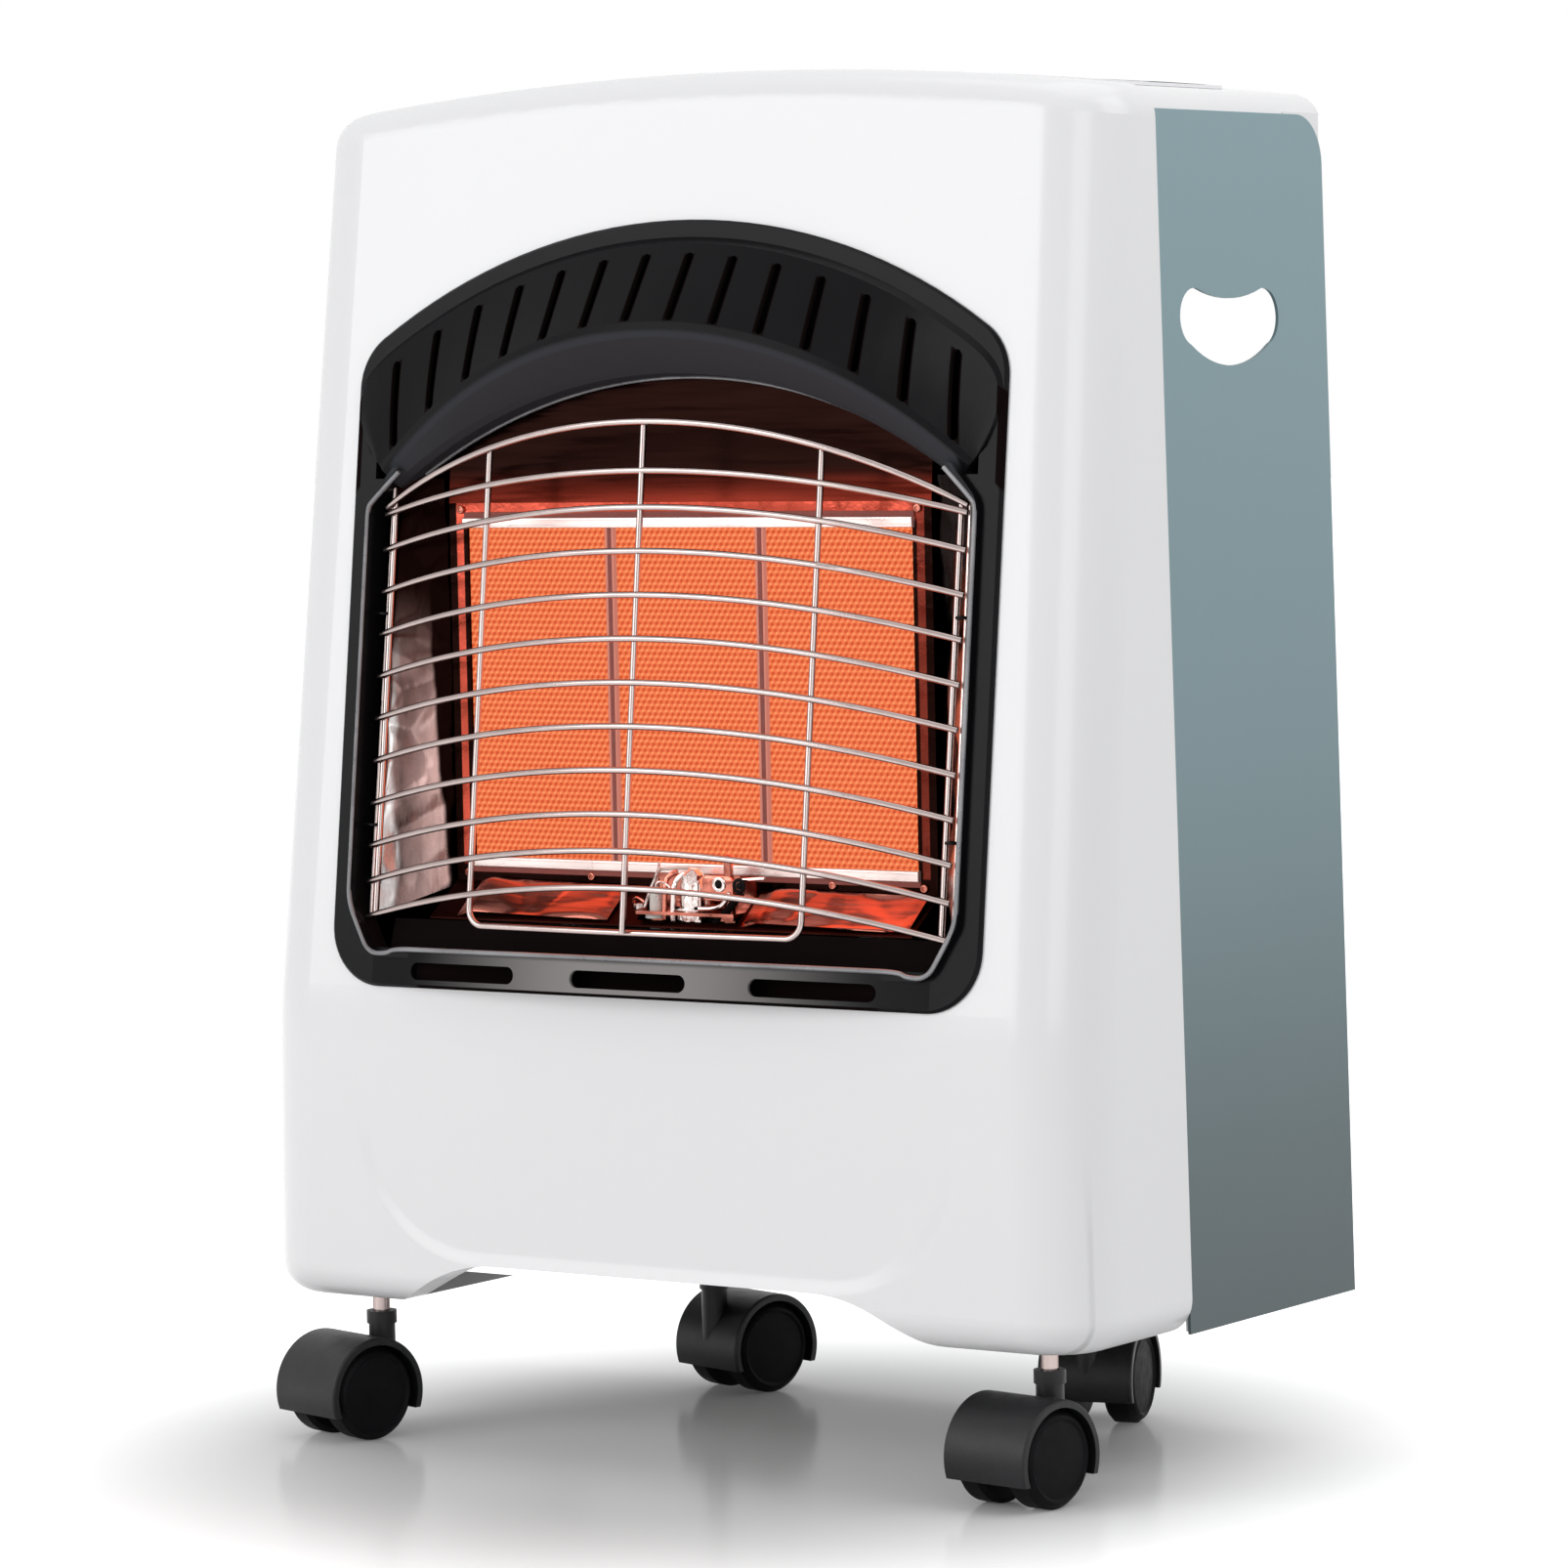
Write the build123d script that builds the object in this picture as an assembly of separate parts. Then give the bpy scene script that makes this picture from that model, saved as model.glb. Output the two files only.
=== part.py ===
from build123d import *
import os
from math import cos, radians, sin, sqrt, tan

# Portable gas cabinet heater, in millimetres.
# Construction frame: x to the viewer's right, y from the lower front face towards the
# rear, z up from the floor. Every node is moved by ORIGIN when it is written, so that the
# stored frame has its origin on the floor under the middle of the object.

# ---------------------------------------------------------------- driving dimensions
WIDTH = 460.0            # cabinet width at the feet
SIDE_TAPER = 1.05        # degrees that each side leans inwards
FOOT_Z = 68.5            # underside of the front shell's feet above the floor
TOP_Z = 635.0            # crown of the arched top
DEPTH = 243.0            # lower front face to the rear edge of the side panels
CROWN_RADIUS = 1700.0    # arch of the top, seen from the front
BEND_Z = 203.0           # height at which the front face starts to lean back
LEAN = 6.87              # degrees that the upper front face leans back
BEND_RADIUS = 240.0      # soft bend between the two front faces

SEAM = 0.3               # gap left beside a seam between two panels
SEAT = 0.1               # gap under a curved flange
FIT = 0.05               # radial running clearance
PAST = 5.0               # how far a cutting shape reaches past a face

SHELL_DEPTH = 94.0       # front shell, front to rear edge
SHELL_WALL = 1.2
SHELL_CORNER = 34.0      # rounding of the upright front corners
SHELL_TOP_EDGE = 16.0    # rounding along the front and side edges of the top
SHELL_FOOT_EDGE = 16.0   # rounding along the bottom of the shell
ARCH_Z = 90.0            # level of the cut-out between the two feet
ARCH_HALF = 108.0        # half-width of the cut-out at its level part
ARCH_FOOT_HALF = 148.0   # half-width of the cut-out at the feet
ARCH_ROUND_IN = 80.0
ARCH_ROUND_OUT = 30.0
ARCH_RUNOUT = 30.0       # straight stretch outside the cut-out's ends
ARCH_FLANGE = 22.0       # depth of the flange that returns along the cut-out

PANEL_WALL = 1.5         # side panels
PANEL_TOP_Z = TOP_Z - 24.0
PANEL_CORNER = 22.0      # top rear corner of the side panels, and rear roll of the top
PANEL_FLANGE = 14.0      # inward flange along the rear edge
PANEL_FLANGE_END = 4.0   # how far the flange stops short of the panel's ends
TONGUE = 12.0            # side panel's tongue inside the front shell
TONGUE_LOW_Z = 112.0
TONGUE_HIGH_Z = TOP_Z - 55.0

HAND_HOLE_Y = 155.5      # middle of the hand hole
HAND_HOLE_Z = TOP_Z - 103.0
HAND_HOLE_HALF = 43.5    # half of its width
HAND_HOLE_DROP = 34.5    # its height
HAND_HOLE_DIP = 4.5      # sag of its upper edge
HAND_HOLE_SHOULDER = 15.0
HAND_HOLE_WIDE_DROP = 12.0   # depth below the upper edge at which it is widest
HAND_HOLE_CHEEK_DROP = 25.0
HAND_HOLE_CHEEK = 9.0

COVER_WALL = 1.2         # rear cover, base plate and heat shield
COVER_TOP_Z = TOP_Z - 165.0
COVER_LOW_Z = 78.0
COVER_STIFFENER = 12.0   # depth of the flange along the rear cover's top
COVER_STIFFENER_END = 25.0
COVER_SCREW_INSET = 20.0
LOUVRE_LENGTH = 120.0
LOUVRE_HEIGHT = 5.0
LOUVRE_PITCH = 16.0
LOUVRE_ROWS = 6
LOUVRE_X = 100.0
LOUVRE_LOW_Z = 150.0     # lowest slot of the lower bank
LOUVRE_HIGH_Z = COVER_TOP_Z - 140.0

TOP_WALL = 1.2
TOP_TUCK = 7.0           # top cover's edge under the front shell
TOP_SKIRT = 20.0         # rear lip and side skirts of the top cover

BEZEL_HALF = 179.5       # outer half-width of the bezel
BEZEL_LOW_Z = 217.3
BEZEL_TOP_Z = TOP_Z - 67.0
BEZEL_ARC = 300.0        # radius of the bezel's top
BEZEL_CORNER = 28.0
BEZEL_PLATE = 2.5        # flange plate thickness
BEZEL_BEVEL = 1.2
BEZEL_LAP = 8.0          # how far the flange laps over the front shell
HOOD_TOE = 291.0         # radii of the hood's edges, about the centre of the bezel's top
HOOD_RIDGE = 248.0
HOOD_LIP = 230.0
HOOD_LIP_SPREAD = 8.0    # how much larger the lip's radius is at the hood's ends
HOOD_RISE = 26.0         # height of the ridge over the leaning face, at the centre
HOOD_TOE_RISE = 7.0
HOOD_TOE_FALL = 3.0      # how much lower the toe is at the hood's ends
HOOD_LIP_RISE = 5.0
HOOD_LIP_BOW = 0.3       # share of the ridge's bow that the lip follows
HOOD_BOW = 590.0         # bow of the ridge, seen from above
HOOD_SHEET = 2.2
HOOD_FOOT = 0.8          # how far the hood's outer edge stands over the leaning face
HOOD_SWEEP = 41.0        # degrees to each side
HOOD_STATIONS = 15
WALL_BACK = 9.0          # opening wall behind the leaning face
SLOT_COUNT = 14
SLOT_PITCH = 23.86
SLOT_WIDTH = 4.5
SLOT_INNER = 251.5
SLOT_OUTER = 284.0
OPENING_HALF = 167.0
OPENING_LOW_Z = 233.0
OPENING_SIDE_LOW_Z = 256.0
OPENING_SIDE_HIGH_Z = BEZEL_TOP_Z - 128.0
OPENING_LOW_HALF = 154.0
OPENING_TOP_HALF = 147.0
OPENING_TOP_Z = BEZEL_TOP_Z - 106.0
OPENING_CORNER = 10.0
BEAD_WIDTH = 2.2
BEAD_RISE = 6.0
KICK_HEIGHT = 16.3       # wall that rises behind the opening's lower edge
KICK_SET = 3.0           # how far its top stands behind its foot
KICK_HALF = 152.0
SILL_RISE = 15.0         # bow of the lower rail at the centre
SILL_HALF = 168.0
SILL_SHEET = 2.2
SILL_EDGE = 0.2          # height of the rail's ends over the leaning face
SILL_INSET = 1.5         # lower edge of the rail inside the bezel's edge
SILL_SLOT_LENGTH = 64.0
SILL_SLOT_HEIGHT = 8.0
SILL_SLOT_X = 97.0
SILL_SLOT_Z = 225.0

WIRE_R = 1.5
GUARD_HALF = 157.0       # end verticals
GUARD_OVERHANG = 4.0     # wire ends past the end verticals
GUARD_LOW_Z = 249.0      # lowest horizontal wire, at its ends
GUARD_HIGH_Z = OPENING_SIDE_HIGH_Z - 4.3
GUARD_END_PITCH = 16.5   # the two lowest spaces and the highest one
GUARD_MIDDLE_ROWS = 7    # evenly spaced wires between them
GUARD_BULGE = 20.0       # forward bow of the wires
GUARD_RISE = 20.0        # upward bow of the wires
TOP_WIRE_STEP = 3.4      # extra wire above the rows, at its ends
TOP_WIRE_RISE = 38.6
GUARD_VERTICAL_X = 92.0  # the two verticals that meet in a loop below the rows
GUARD_LOOP_Z = 248.5
GUARD_LOOP_BEND = 8.0
GUARD_WELD = 0.6         # how far crossing wires sink into each other
CLIP_ROWS_IN = 2         # whole spaces between each clip and the guard's ends
CLIP_SIZE = 7.0

PLAQUE_WIDTH = 81.0
PLAQUE_THICK = 13.0
PLAQUE_GAP = 2.5
PLAQUE_Y = 42.0          # radiant face
PLAQUE_LOW_Z = 274.5
PLAQUE_HIGH_Z = OPENING_TOP_Z - 31.5
PLAQUE_COUNT = 3
FRAME_WALL = 1.5
FRAME_MARGIN = 10.0      # plaque frame beyond the plaques
FRAME_LAP = 0.3          # frame over each plaque's edge
HOUSING_WALL = 0.8
HOUSING_PLAY = 0.2       # around each plaque
HOUSING_SETBACK = 0.5    # front edge of the housing behind the radiant face
HOUSING_DEPTH = 38.0     # behind the radiant face
LEDGE = 4.0              # width of the seat behind each plaque
SHIELD_Y = 88.0
SHIELD_TOP_Z = TOP_Z - 45.0
SHIELD_FLANGE = 15.0
CHANNEL_INSET = 25.5     # pressed channels inside the plaques' lower and upper edges
CHANNEL_HEIGHT = 12.0
REFLECTOR_WALL = 0.8
REFLECTOR_LOW = 14.0     # side reflectors start this far above the opening's lower edge
REFLECTOR_FRONT_Y = 6.0
REFLECTOR_FOOT_INSET = 20.0
FLOOR_RISE = 16.0        # front edge of the bottom reflector over the opening's lower edge
FLOOR_FRONT_Y = 18.4
CEILING_DROP = 76.0      # top reflector's upper edge below the bezel's top

MIXER_R = 9.0
MIXER_WALL = 1.0
MIXER_Y = 67.0
MIXER_LOW_Z = 146.0
MIXER_BELL_R = 13.0
MIXER_BELL_HEIGHT = 12.0
MIXER_FLANGE = 1.5
MANIFOLD_Z = 128.0
MANIFOLD_R = 8.0
MANIFOLD_WALL = 1.5
MANIFOLD_END = 132.0     # end that the gas pipe enters
MANIFOLD_FAR_END = 112.0
STRAP_WIDTH = 16.0
STRAP_WALL = 2.0
STRAP_FOOT = 24.0
JET_R = 5.0
JET_TIP_R = 2.0
JET_HEX_HEIGHT = 5.0
JET_HEIGHT = 13.0

PILOT_Y = 27.0
PILOT_X = 10.0
PILOT_R = 5.0
PILOT_RISE = 18.0        # top of the pilot burner over its shelf
PILOT_MOUTH_RISE = 14.0
PILOT_MOUTH_R = 3.0
PILOT_MOUTH_WALL = 1.0
PILOT_MOUTH_LENGTH = 9.0
THERMO_X = 30.0
THERMO_R = 3.0
THERMO_RISE = 16.0
THERMO_TIP_R = 2.2
THERMO_TIP_RISE = 28.0
SPARK_X = -10.0
SPARK_R = 3.4
SPARK_RISE = 10.0
SPARK_WIRE_R = 0.8
SPARK_WIRE_RISE = 20.0
COLLAR_HEIGHT = 2.0      # collars of the pilot's parts under their shelf
COLLAR_LIP = 2.0
PILOT_PLATE_Z = 254.0
PILOT_PLATE = 1.5
PILOT_PLATE_MARGIN = 7.0
PILOT_TAB_RISE = 8.0     # bracket's tab over the lower edge of the plaque frame
PILOT_TAIL_Z = 240.0     # lower ends of the pilot's three parts

KNOB_X = 95.0
CONTROL_Y = 163.0
BUTTON_X = 150.0
WELL_LEFT = 60.0
WELL_RIGHT = 184.0
WELL_FRONT = 117.0
WELL_REAR = 209.0
WELL_FLOOR_Z = TOP_Z - 39.0
WELL_WALL = 2.0
WELL_CORNER = 12.0
WELL_FLANGE = 5.0
WELL_FLANGE_RISE = 1.5
WELL_FIT = 0.3           # tub beside its hole in the top cover
KNOB_R = 21.0
KNOB_HEIGHT = 20.0
KNOB_SKIRT = 6.0
KNOB_GRIP_R = 16.0
KNOB_GRIP_TOP_R = 14.0
KNOB_GRIP_HALF = 5.0     # half-width of the grip bar
KNOB_GRIP_LOW = 9.0      # underside of the grip's cut-outs over the knob's base
KNOB_TRAVEL = 5.0
KNOB_SOCKET = 12.0
BUTTON_R = 8.0
BUTTON_STEM_R = 6.0
BUTTON_CAP = 7.0
BUTTON_TRAVEL = 6.0
BUTTON_STEM = 15.0       # stem below the panel
PIEZO_WALL = 5.0
PIEZO_HEIGHT = 46.0
STOP_PLAY = 1.0          # clearance that is left when a control is pushed in
SPINDLE_R = 3.0
SPINDLE_FLAT = 1.0
BUSH_R = 7.0
VALVE_WIDTH = 36.0
VALVE_DEPTH = 30.0
VALVE_HEIGHT = 36.0
VALVE_CORNER = 5.0
VALVE_NECK = 10.0
VALVE_NECK_WALL = 4.0
VALVE_BORE = 12.0        # bush bore below the neck
PORT_LENGTH = 8.0
PORT_WALL = 3.0
PILOT_PORT_RISE = 10.0
PILOT_PORT_SIDE = 9.0
THERMO_PORT_RISE = 24.0
THERMO_PORT_SIDE = 9.0
THERMO_PORT_R = 4.0
INLET_RISE = 16.0
NUT_R = 9.0
NUT_LENGTH = 10.0
RIDGE_LENGTH = 9.0
RIDGE_RISE = 1.2
RIDGE_COUNT = 2
TAIL_LENGTH = 22.0       # smooth end of the hose tail
TAIL_R = 4.0
TAIL_WALL = 1.5

PIPE_R = 4.0
PIPE_BEND = 24.0
PILOT_TUBE_R = 2.0
PILOT_TUBE_BEND = 20.0
THERMO_LEAD_R = 1.2
THERMO_LEAD_BEND = 16.0
SPARK_LEAD_R = 1.5
SPARK_LEAD_BEND = 18.0
GAS_LANE = (146.0, 116.0)        # x and y of the vertical runs behind the heat shield
PILOT_LANE = (166.0, 112.0)
THERMO_LANE = (176.0, 112.0)
SPARK_LANE = (186.0, 112.0)
PILOT_CROSS_Y = 50.0             # depth at which each lead crosses behind the burner
THERMO_CROSS_Y = 44.0
SPARK_CROSS_Y = 38.0
LEAD_SLOT_X = 176.0
LEAD_SLOT_Z = 222.0
LEAD_SLOT_LENGTH = 40.0
LEAD_SLOT_HEIGHT = 22.0
LEAD_SPACING = 6.0
LEAD_RISE = 30.0                 # end of a vertical run below its port

STEM_R = 4.0
STEM_TOP_Z = 86.0
STEM_LOW_Z = 29.0
NECK_TOP_Z = 57.5
NECK_R = 6.3
NECK_COLLAR = 6.0
NECK_COLLAR_LIP = 0.9
WHEEL_R = 22.0
WHEEL_INNER_X = 7.3
WHEEL_OUTER_X = 22.3
CASTER_HOOD_R = 26.6
CASTER_HOOD_GAP = 1.2
CASTER_HOOD_HALF = 23.0
CASTER_HOOD_LOW_Z = 13.0
TRAIL = 20.0             # axle behind the swivel axis
AXLE_R = 3.0
AXLE_HALF = 19.5
SOCKET_R = 7.0
SOCKET_FLANGE = 7.0
SOCKET_FLANGE_WALL = 2.0
FRONT_CASTER = (187.0, 42.0)
REAR_CASTER = (107.0, 203.0)
CASTER_TURNS = {"front_left": -15.0, "front_right": -8.0, "rear_left": 165.0, "rear_right": 195.0}

BASE_TOP_Z = 91.0
BASE_LIP = 14.5          # height of the base plate's rear lip
FRONT_NOTCH = 8.0        # base plate's relief beside the front shell's rounded corners
SCREW_R = 2.0
SCREW_HEAD_R = 4.0
SCREW_HEAD = 2.2
SCREW_LENGTH = 9.0

# ---------------------------------------------------------------- derived sizes
LEAN_COS = cos(radians(LEAN))
LEAN_SIN = sin(radians(LEAN))
LEAN_TAN = tan(radians(LEAN))
FRONT_MOST = (GUARD_LOW_Z - BEND_Z) * LEAN_TAN - GUARD_BULGE - WIRE_R
REAR_TURN = radians(CASTER_TURNS["rear_right"] - 180)
REAR_MOST = (REAR_CASTER[1] + (TRAIL + CASTER_HOOD_R) * cos(REAR_TURN)
             + CASTER_HOOD_HALF * abs(sin(REAR_TURN)))
ORIGIN = Location((0, -(FRONT_MOST + REAR_MOST) / 2, 0))
HOOD_CENTRE = (BEZEL_TOP_Z - BEND_Z) / LEAN_COS - BEZEL_ARC
PLAQUE_PITCH = PLAQUE_WIDTH + PLAQUE_GAP
PLAQUE_X = [(i - (PLAQUE_COUNT - 1) / 2) * PLAQUE_PITCH for i in range(PLAQUE_COUNT)]
FRAME_HALF = PLAQUE_PITCH * PLAQUE_COUNT / 2 + FRAME_MARGIN - PLAQUE_GAP / 2
FRAME_Y = PLAQUE_Y - FRAME_WALL
FRAME_LOW_Z = PLAQUE_LOW_Z - FRAME_MARGIN
FRAME_HIGH_Z = PLAQUE_HIGH_Z + FRAME_MARGIN
HOUSING_REAR_Y = PLAQUE_Y + HOUSING_DEPTH
HOUSING_LOW_Z = PLAQUE_LOW_Z - HOUSING_PLAY - HOUSING_WALL
WELL_UNDER_Z = WELL_FLOOR_Z - WELL_WALL
VALVE_TOP_Z = WELL_UNDER_Z - VALVE_NECK
VALVE_LOW_Z = VALVE_TOP_Z - VALVE_HEIGHT
VALVE_FRONT = CONTROL_Y - VALVE_DEPTH / 2
VALVE_REAR = CONTROL_Y + VALVE_DEPTH / 2
VALVE_SIDE = KNOB_X + VALVE_WIDTH / 2
OUTLET_Z = VALVE_LOW_Z - PORT_LENGTH
INLET_Z = VALVE_LOW_Z + INLET_RISE
BUSH_LOW_Z = VALVE_TOP_Z - VALVE_BORE + KNOB_TRAVEL + STOP_PLAY
KNOB_LOW_Z = WELL_FLOOR_Z + KNOB_TRAVEL + STOP_PLAY
CAP_LOW_Z = WELL_FLOOR_Z + BUTTON_TRAVEL + STOP_PLAY / 2
INSIDE = SHELL_WALL + PANEL_WALL     # inner face of the side panels from the cabinet's side
SLOPE = Plane(origin=(0, 0, BEND_Z), x_dir=(1, 0, 0), z_dir=(0, -LEAN_COS, LEAN_SIN))


def half_width(z):
    """Half of the cabinet's width at height z."""
    return WIDTH / 2 - (z - FOOT_Z) * tan(radians(SIDE_TAPER))


def face_y(z):
    """Depth of the leaning front face at height z."""
    return (z - BEND_Z) * LEAN_TAN


def up_slope(z):
    """Distance along the leaning face at height z."""
    return (z - BEND_Z) / LEAN_COS


# ---------------------------------------------------------------- helpers
def along_x(sketch, x0, x1):
    """Extrude a sketch given in (y, z) from x0 to x1."""
    return extrude(Plane.YZ.offset(x0) * sketch, amount=x1 - x0)


def along_y(sketch, y0, y1):
    """Extrude a sketch given in (x, z) from y0 to y1."""
    return extrude(Plane.XZ.offset(-y0) * sketch, amount=-(y1 - y0))


def along_z(sketch, z0, z1):
    """Extrude a sketch given in (x, y) from z0 to z1."""
    return extrude(Plane.XY.offset(z0) * sketch, amount=z1 - z0)


def block(x0, x1, y0, y1, z0, z1):
    """A box between two corners."""
    middle = ((x0 + x1) / 2, (y0 + y1) / 2, (z0 + z1) / 2)
    return Pos(*middle) * Box(abs(x1 - x0), abs(y1 - y0), abs(z1 - z0))


def polygon(*points):
    """A face through points, in the sketch plane."""
    return make_face(Polyline(*points, close=True))


def rod_z(x, y, z0, z1, radius):
    return Pos(x, y, (z0 + z1) / 2) * Cylinder(radius, z1 - z0)


def rod_y(x, z, y0, y1, radius):
    return Pos(x, (y0 + y1) / 2, z) * Rot(90, 0, 0) * Cylinder(radius, y1 - y0)


def rod_x(y, z, x0, x1, radius):
    return Pos((x0 + x1) / 2, y, z) * Rot(0, 90, 0) * Cylinder(radius, abs(x1 - x0))


def mirrored(solid, side):
    """The solid as it is for the right side, or its mirror image for the left."""
    return solid if side > 0 else mirror(solid, about=Plane.YZ)


def side_slab(inset, wall, y0, y1, z0, z1, side):
    """A sheet parallel to a leaning side, its outer face inset from the cabinet's side."""
    outline = polygon(
        (half_width(z0) - inset, z0),
        (half_width(z1) - inset, z1),
        (half_width(z1) - inset - wall, z1),
        (half_width(z0) - inset - wall, z0),
    )
    return mirrored(along_y(outline, y0, y1), side)


def tapered_plate(inset, z0, z1, y0, y1):
    """A cross sheet that fills the cabinet's width between its leaning sides."""
    outline = polygon(
        (inset - half_width(z0), z0),
        (half_width(z0) - inset, z0),
        (half_width(z1) - inset, z1),
        (inset - half_width(z1), z1),
    )
    return along_y(outline, y0, y1)


def swept_bar(path, radius):
    """A round bar along a path."""
    start = Plane(origin=path @ 0, z_dir=path % 0)
    return sweep(start * Circle(radius), path=path)


def bend_radii(points, limit):
    """Radii for a bent bar: as large as the runs allow, up to a limit."""
    radii = []
    for a, b, c in zip(points, points[1:], points[2:]):
        first = Vector(*b) - Vector(*a)
        second = Vector(*c) - Vector(*b)
        half_turn = radians(first.get_angle(second) / 2)
        radii.append(min(limit, 0.45 * min(first.length, second.length) / tan(half_turn)))
    return radii


def bent_tube(points, radius, limit):
    """A round bar along straight runs joined by tangent arcs."""
    return swept_bar(FilletPolyline(*points, radius=bend_radii(points, limit)), radius)


# ---------------------------------------------------------------- casing
def crown_outline(inset, low_z):
    """Front view of the casing: tapered sides under an arched top."""
    crown = TOP_Z - inset
    radius = CROWN_RADIUS - inset
    side_z = crown - radius + sqrt(radius ** 2 - (half_width(TOP_Z) - inset) ** 2)
    half_top = half_width(side_z) - inset
    half_low = half_width(low_z) - inset
    sides = Polyline((-half_top, side_z), (-half_low, low_z), (half_low, low_z),
                     (half_top, side_z))
    top = ThreePointArc((half_top, side_z), (0, crown), (-half_top, side_z))
    return make_face([*sides.edges(), top])


def front_block(inset):
    """Everything behind the front face, which leans back above the bend."""
    far_z = 2 * TOP_Z
    profile = polygon((0, 0), (0, BEND_Z), (face_y(far_z), far_z), (2 * DEPTH, far_z),
                      (2 * DEPTH, 0))
    bend = profile.vertices().sort_by_distance((0, BEND_Z))[0]
    profile = fillet(bend, BEND_RADIUS)
    return Pos(0, inset, 0) * along_x(profile, -WIDTH, WIDTH)


def shell_form(inset, depth):
    """The pressed form of the front shell, offset inwards by inset."""
    form = along_y(crown_outline(inset, FOOT_Z + inset), 0, depth) & front_block(inset)
    uprights = form.edges().filter_by(
        lambda e: abs(abs((e @ 0.5).X) - half_width((e @ 0.5).Z) + inset) < SEAM
        and (e @ 0.5).Y < SHELL_DEPTH * 0.6 and abs((e % 0.5).Z) > 0.9)
    form = fillet(uprights, SHELL_CORNER - inset)
    crown = form.edges().filter_by(
        lambda e: min((e @ 0).Z, (e @ 1).Z) > PANEL_TOP_Z and (e @ 0.5).Y < depth - SEAM)
    form = fillet(crown, SHELL_TOP_EDGE - inset)
    foot = form.edges().filter_by(
        lambda e: abs((e @ 0.5).Z - FOOT_Z - inset) < SEAM and (e @ 0.5).Y < depth - SEAM)
    return fillet(foot, SHELL_FOOT_EDGE - inset)


def arch_outline(grow):
    """The cut-out between the feet, grown by the flange's wall."""
    low_z = FOOT_Z - PAST
    end = ARCH_FOOT_HALF + ARCH_RUNOUT
    outline = polygon(
        (-end, low_z), (-end, FOOT_Z), (-ARCH_FOOT_HALF, FOOT_Z), (-ARCH_HALF, ARCH_Z),
        (ARCH_HALF, ARCH_Z), (ARCH_FOOT_HALF, FOOT_Z), (end, FOOT_Z), (end, low_z))
    knees = outline.vertices().filter_by(lambda v: abs(abs(v.X) - ARCH_HALF) < SEAM)
    outline = fillet(knees, ARCH_ROUND_IN)
    ankles = outline.vertices().filter_by(
        lambda v: abs(abs(v.X) - ARCH_FOOT_HALF) < SEAM and abs(v.Y - FOOT_Z) < SEAM)
    outline = fillet(ankles, ARCH_ROUND_OUT)
    return offset(outline, amount=grow) if grow else outline


def bezel_outline(shrink):
    """Outer edge of the bezel on the leaning face."""
    half = BEZEL_HALF - shrink
    radius = BEZEL_ARC - shrink
    low = up_slope(BEZEL_LOW_Z) + shrink
    top = up_slope(BEZEL_TOP_Z) - shrink
    shoulder = top - radius + sqrt(radius ** 2 - half ** 2)
    sides = Polyline((-half, shoulder), (-half, low), (half, low), (half, shoulder))
    arc = ThreePointArc((half, shoulder), (0, top), (-half, shoulder))
    outline = make_face([*sides.edges(), arc])
    return fillet(outline.vertices(), BEZEL_CORNER - shrink)


def caster_places():
    """Stem position and trail angle of each caster, by name."""
    places = {}
    for name, turn in CASTER_TURNS.items():
        x, y = FRONT_CASTER if name.startswith("front") else REAR_CASTER
        places[name] = (x if name.endswith("right") else -x, y, turn)
    return places


def make_front_shell():
    shell = shell_form(0, SHELL_DEPTH) - shell_form(SHELL_WALL, SHELL_DEPTH + PAST)
    lining = along_y(arch_outline(SHELL_WALL) - arch_outline(0), 0, ARCH_FLANGE)
    lining = lining & shell_form(0, SHELL_DEPTH)
    shell = shell - along_y(arch_outline(0), -PAST, SHELL_DEPTH + PAST) + lining
    shell = shell - SLOPE * extrude(bezel_outline(BEZEL_LAP), amount=HOOD_RISE, both=True)
    for x, y, _ in caster_places().values():
        shell = shell - rod_z(x, y, FOOT_Z - PAST, FOOT_Z + PAST, SOCKET_R + SEAM)
    return shell


def hand_hole():
    """Kidney-shaped hole: a straight-sided bowl under an edge that dips in the middle."""
    y = HAND_HOLE_Y
    z = HAND_HOLE_Z
    shoulder = HAND_HOLE_HALF - HAND_HOLE_SHOULDER
    cheek = HAND_HOLE_HALF - HAND_HOLE_CHEEK
    wide_z = z - HAND_HOLE_WIDE_DROP
    cheek_z = z - HAND_HOLE_CHEEK_DROP
    top = ThreePointArc((y - shoulder, z), (y, z - HAND_HOLE_DIP), (y + shoulder, z))
    right = ThreePointArc((y + shoulder, z), (y + HAND_HOLE_HALF, wide_z), (y + cheek, cheek_z))
    bowl = ThreePointArc((y + cheek, cheek_z), (y, z - HAND_HOLE_DROP), (y - cheek, cheek_z))
    left = ThreePointArc((y - cheek, cheek_z), (y - HAND_HOLE_HALF, wide_z), (y - shoulder, z))
    return make_face([top, right, bowl, left])


def cover_screw_places():
    """Place (x, z) of each screw of the rear cover, in the side panels' flanges."""
    places = []
    middle = (COVER_LOW_Z + COVER_TOP_Z) / 2
    for z in (COVER_LOW_Z + COVER_SCREW_INSET, middle, COVER_TOP_Z - COVER_SCREW_INSET):
        x = half_width(z) - INSIDE - PANEL_FLANGE / 2
        places += [(-x, z), (x, z)]
    return places


def cover_screw_holes():
    """Cutting rods for the rear cover's screws."""
    return [rod_y(x, z, DEPTH - 2 * SCREW_LENGTH, DEPTH + PAST, SCREW_R + FIT)
            for x, z in cover_screw_places()]


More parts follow.
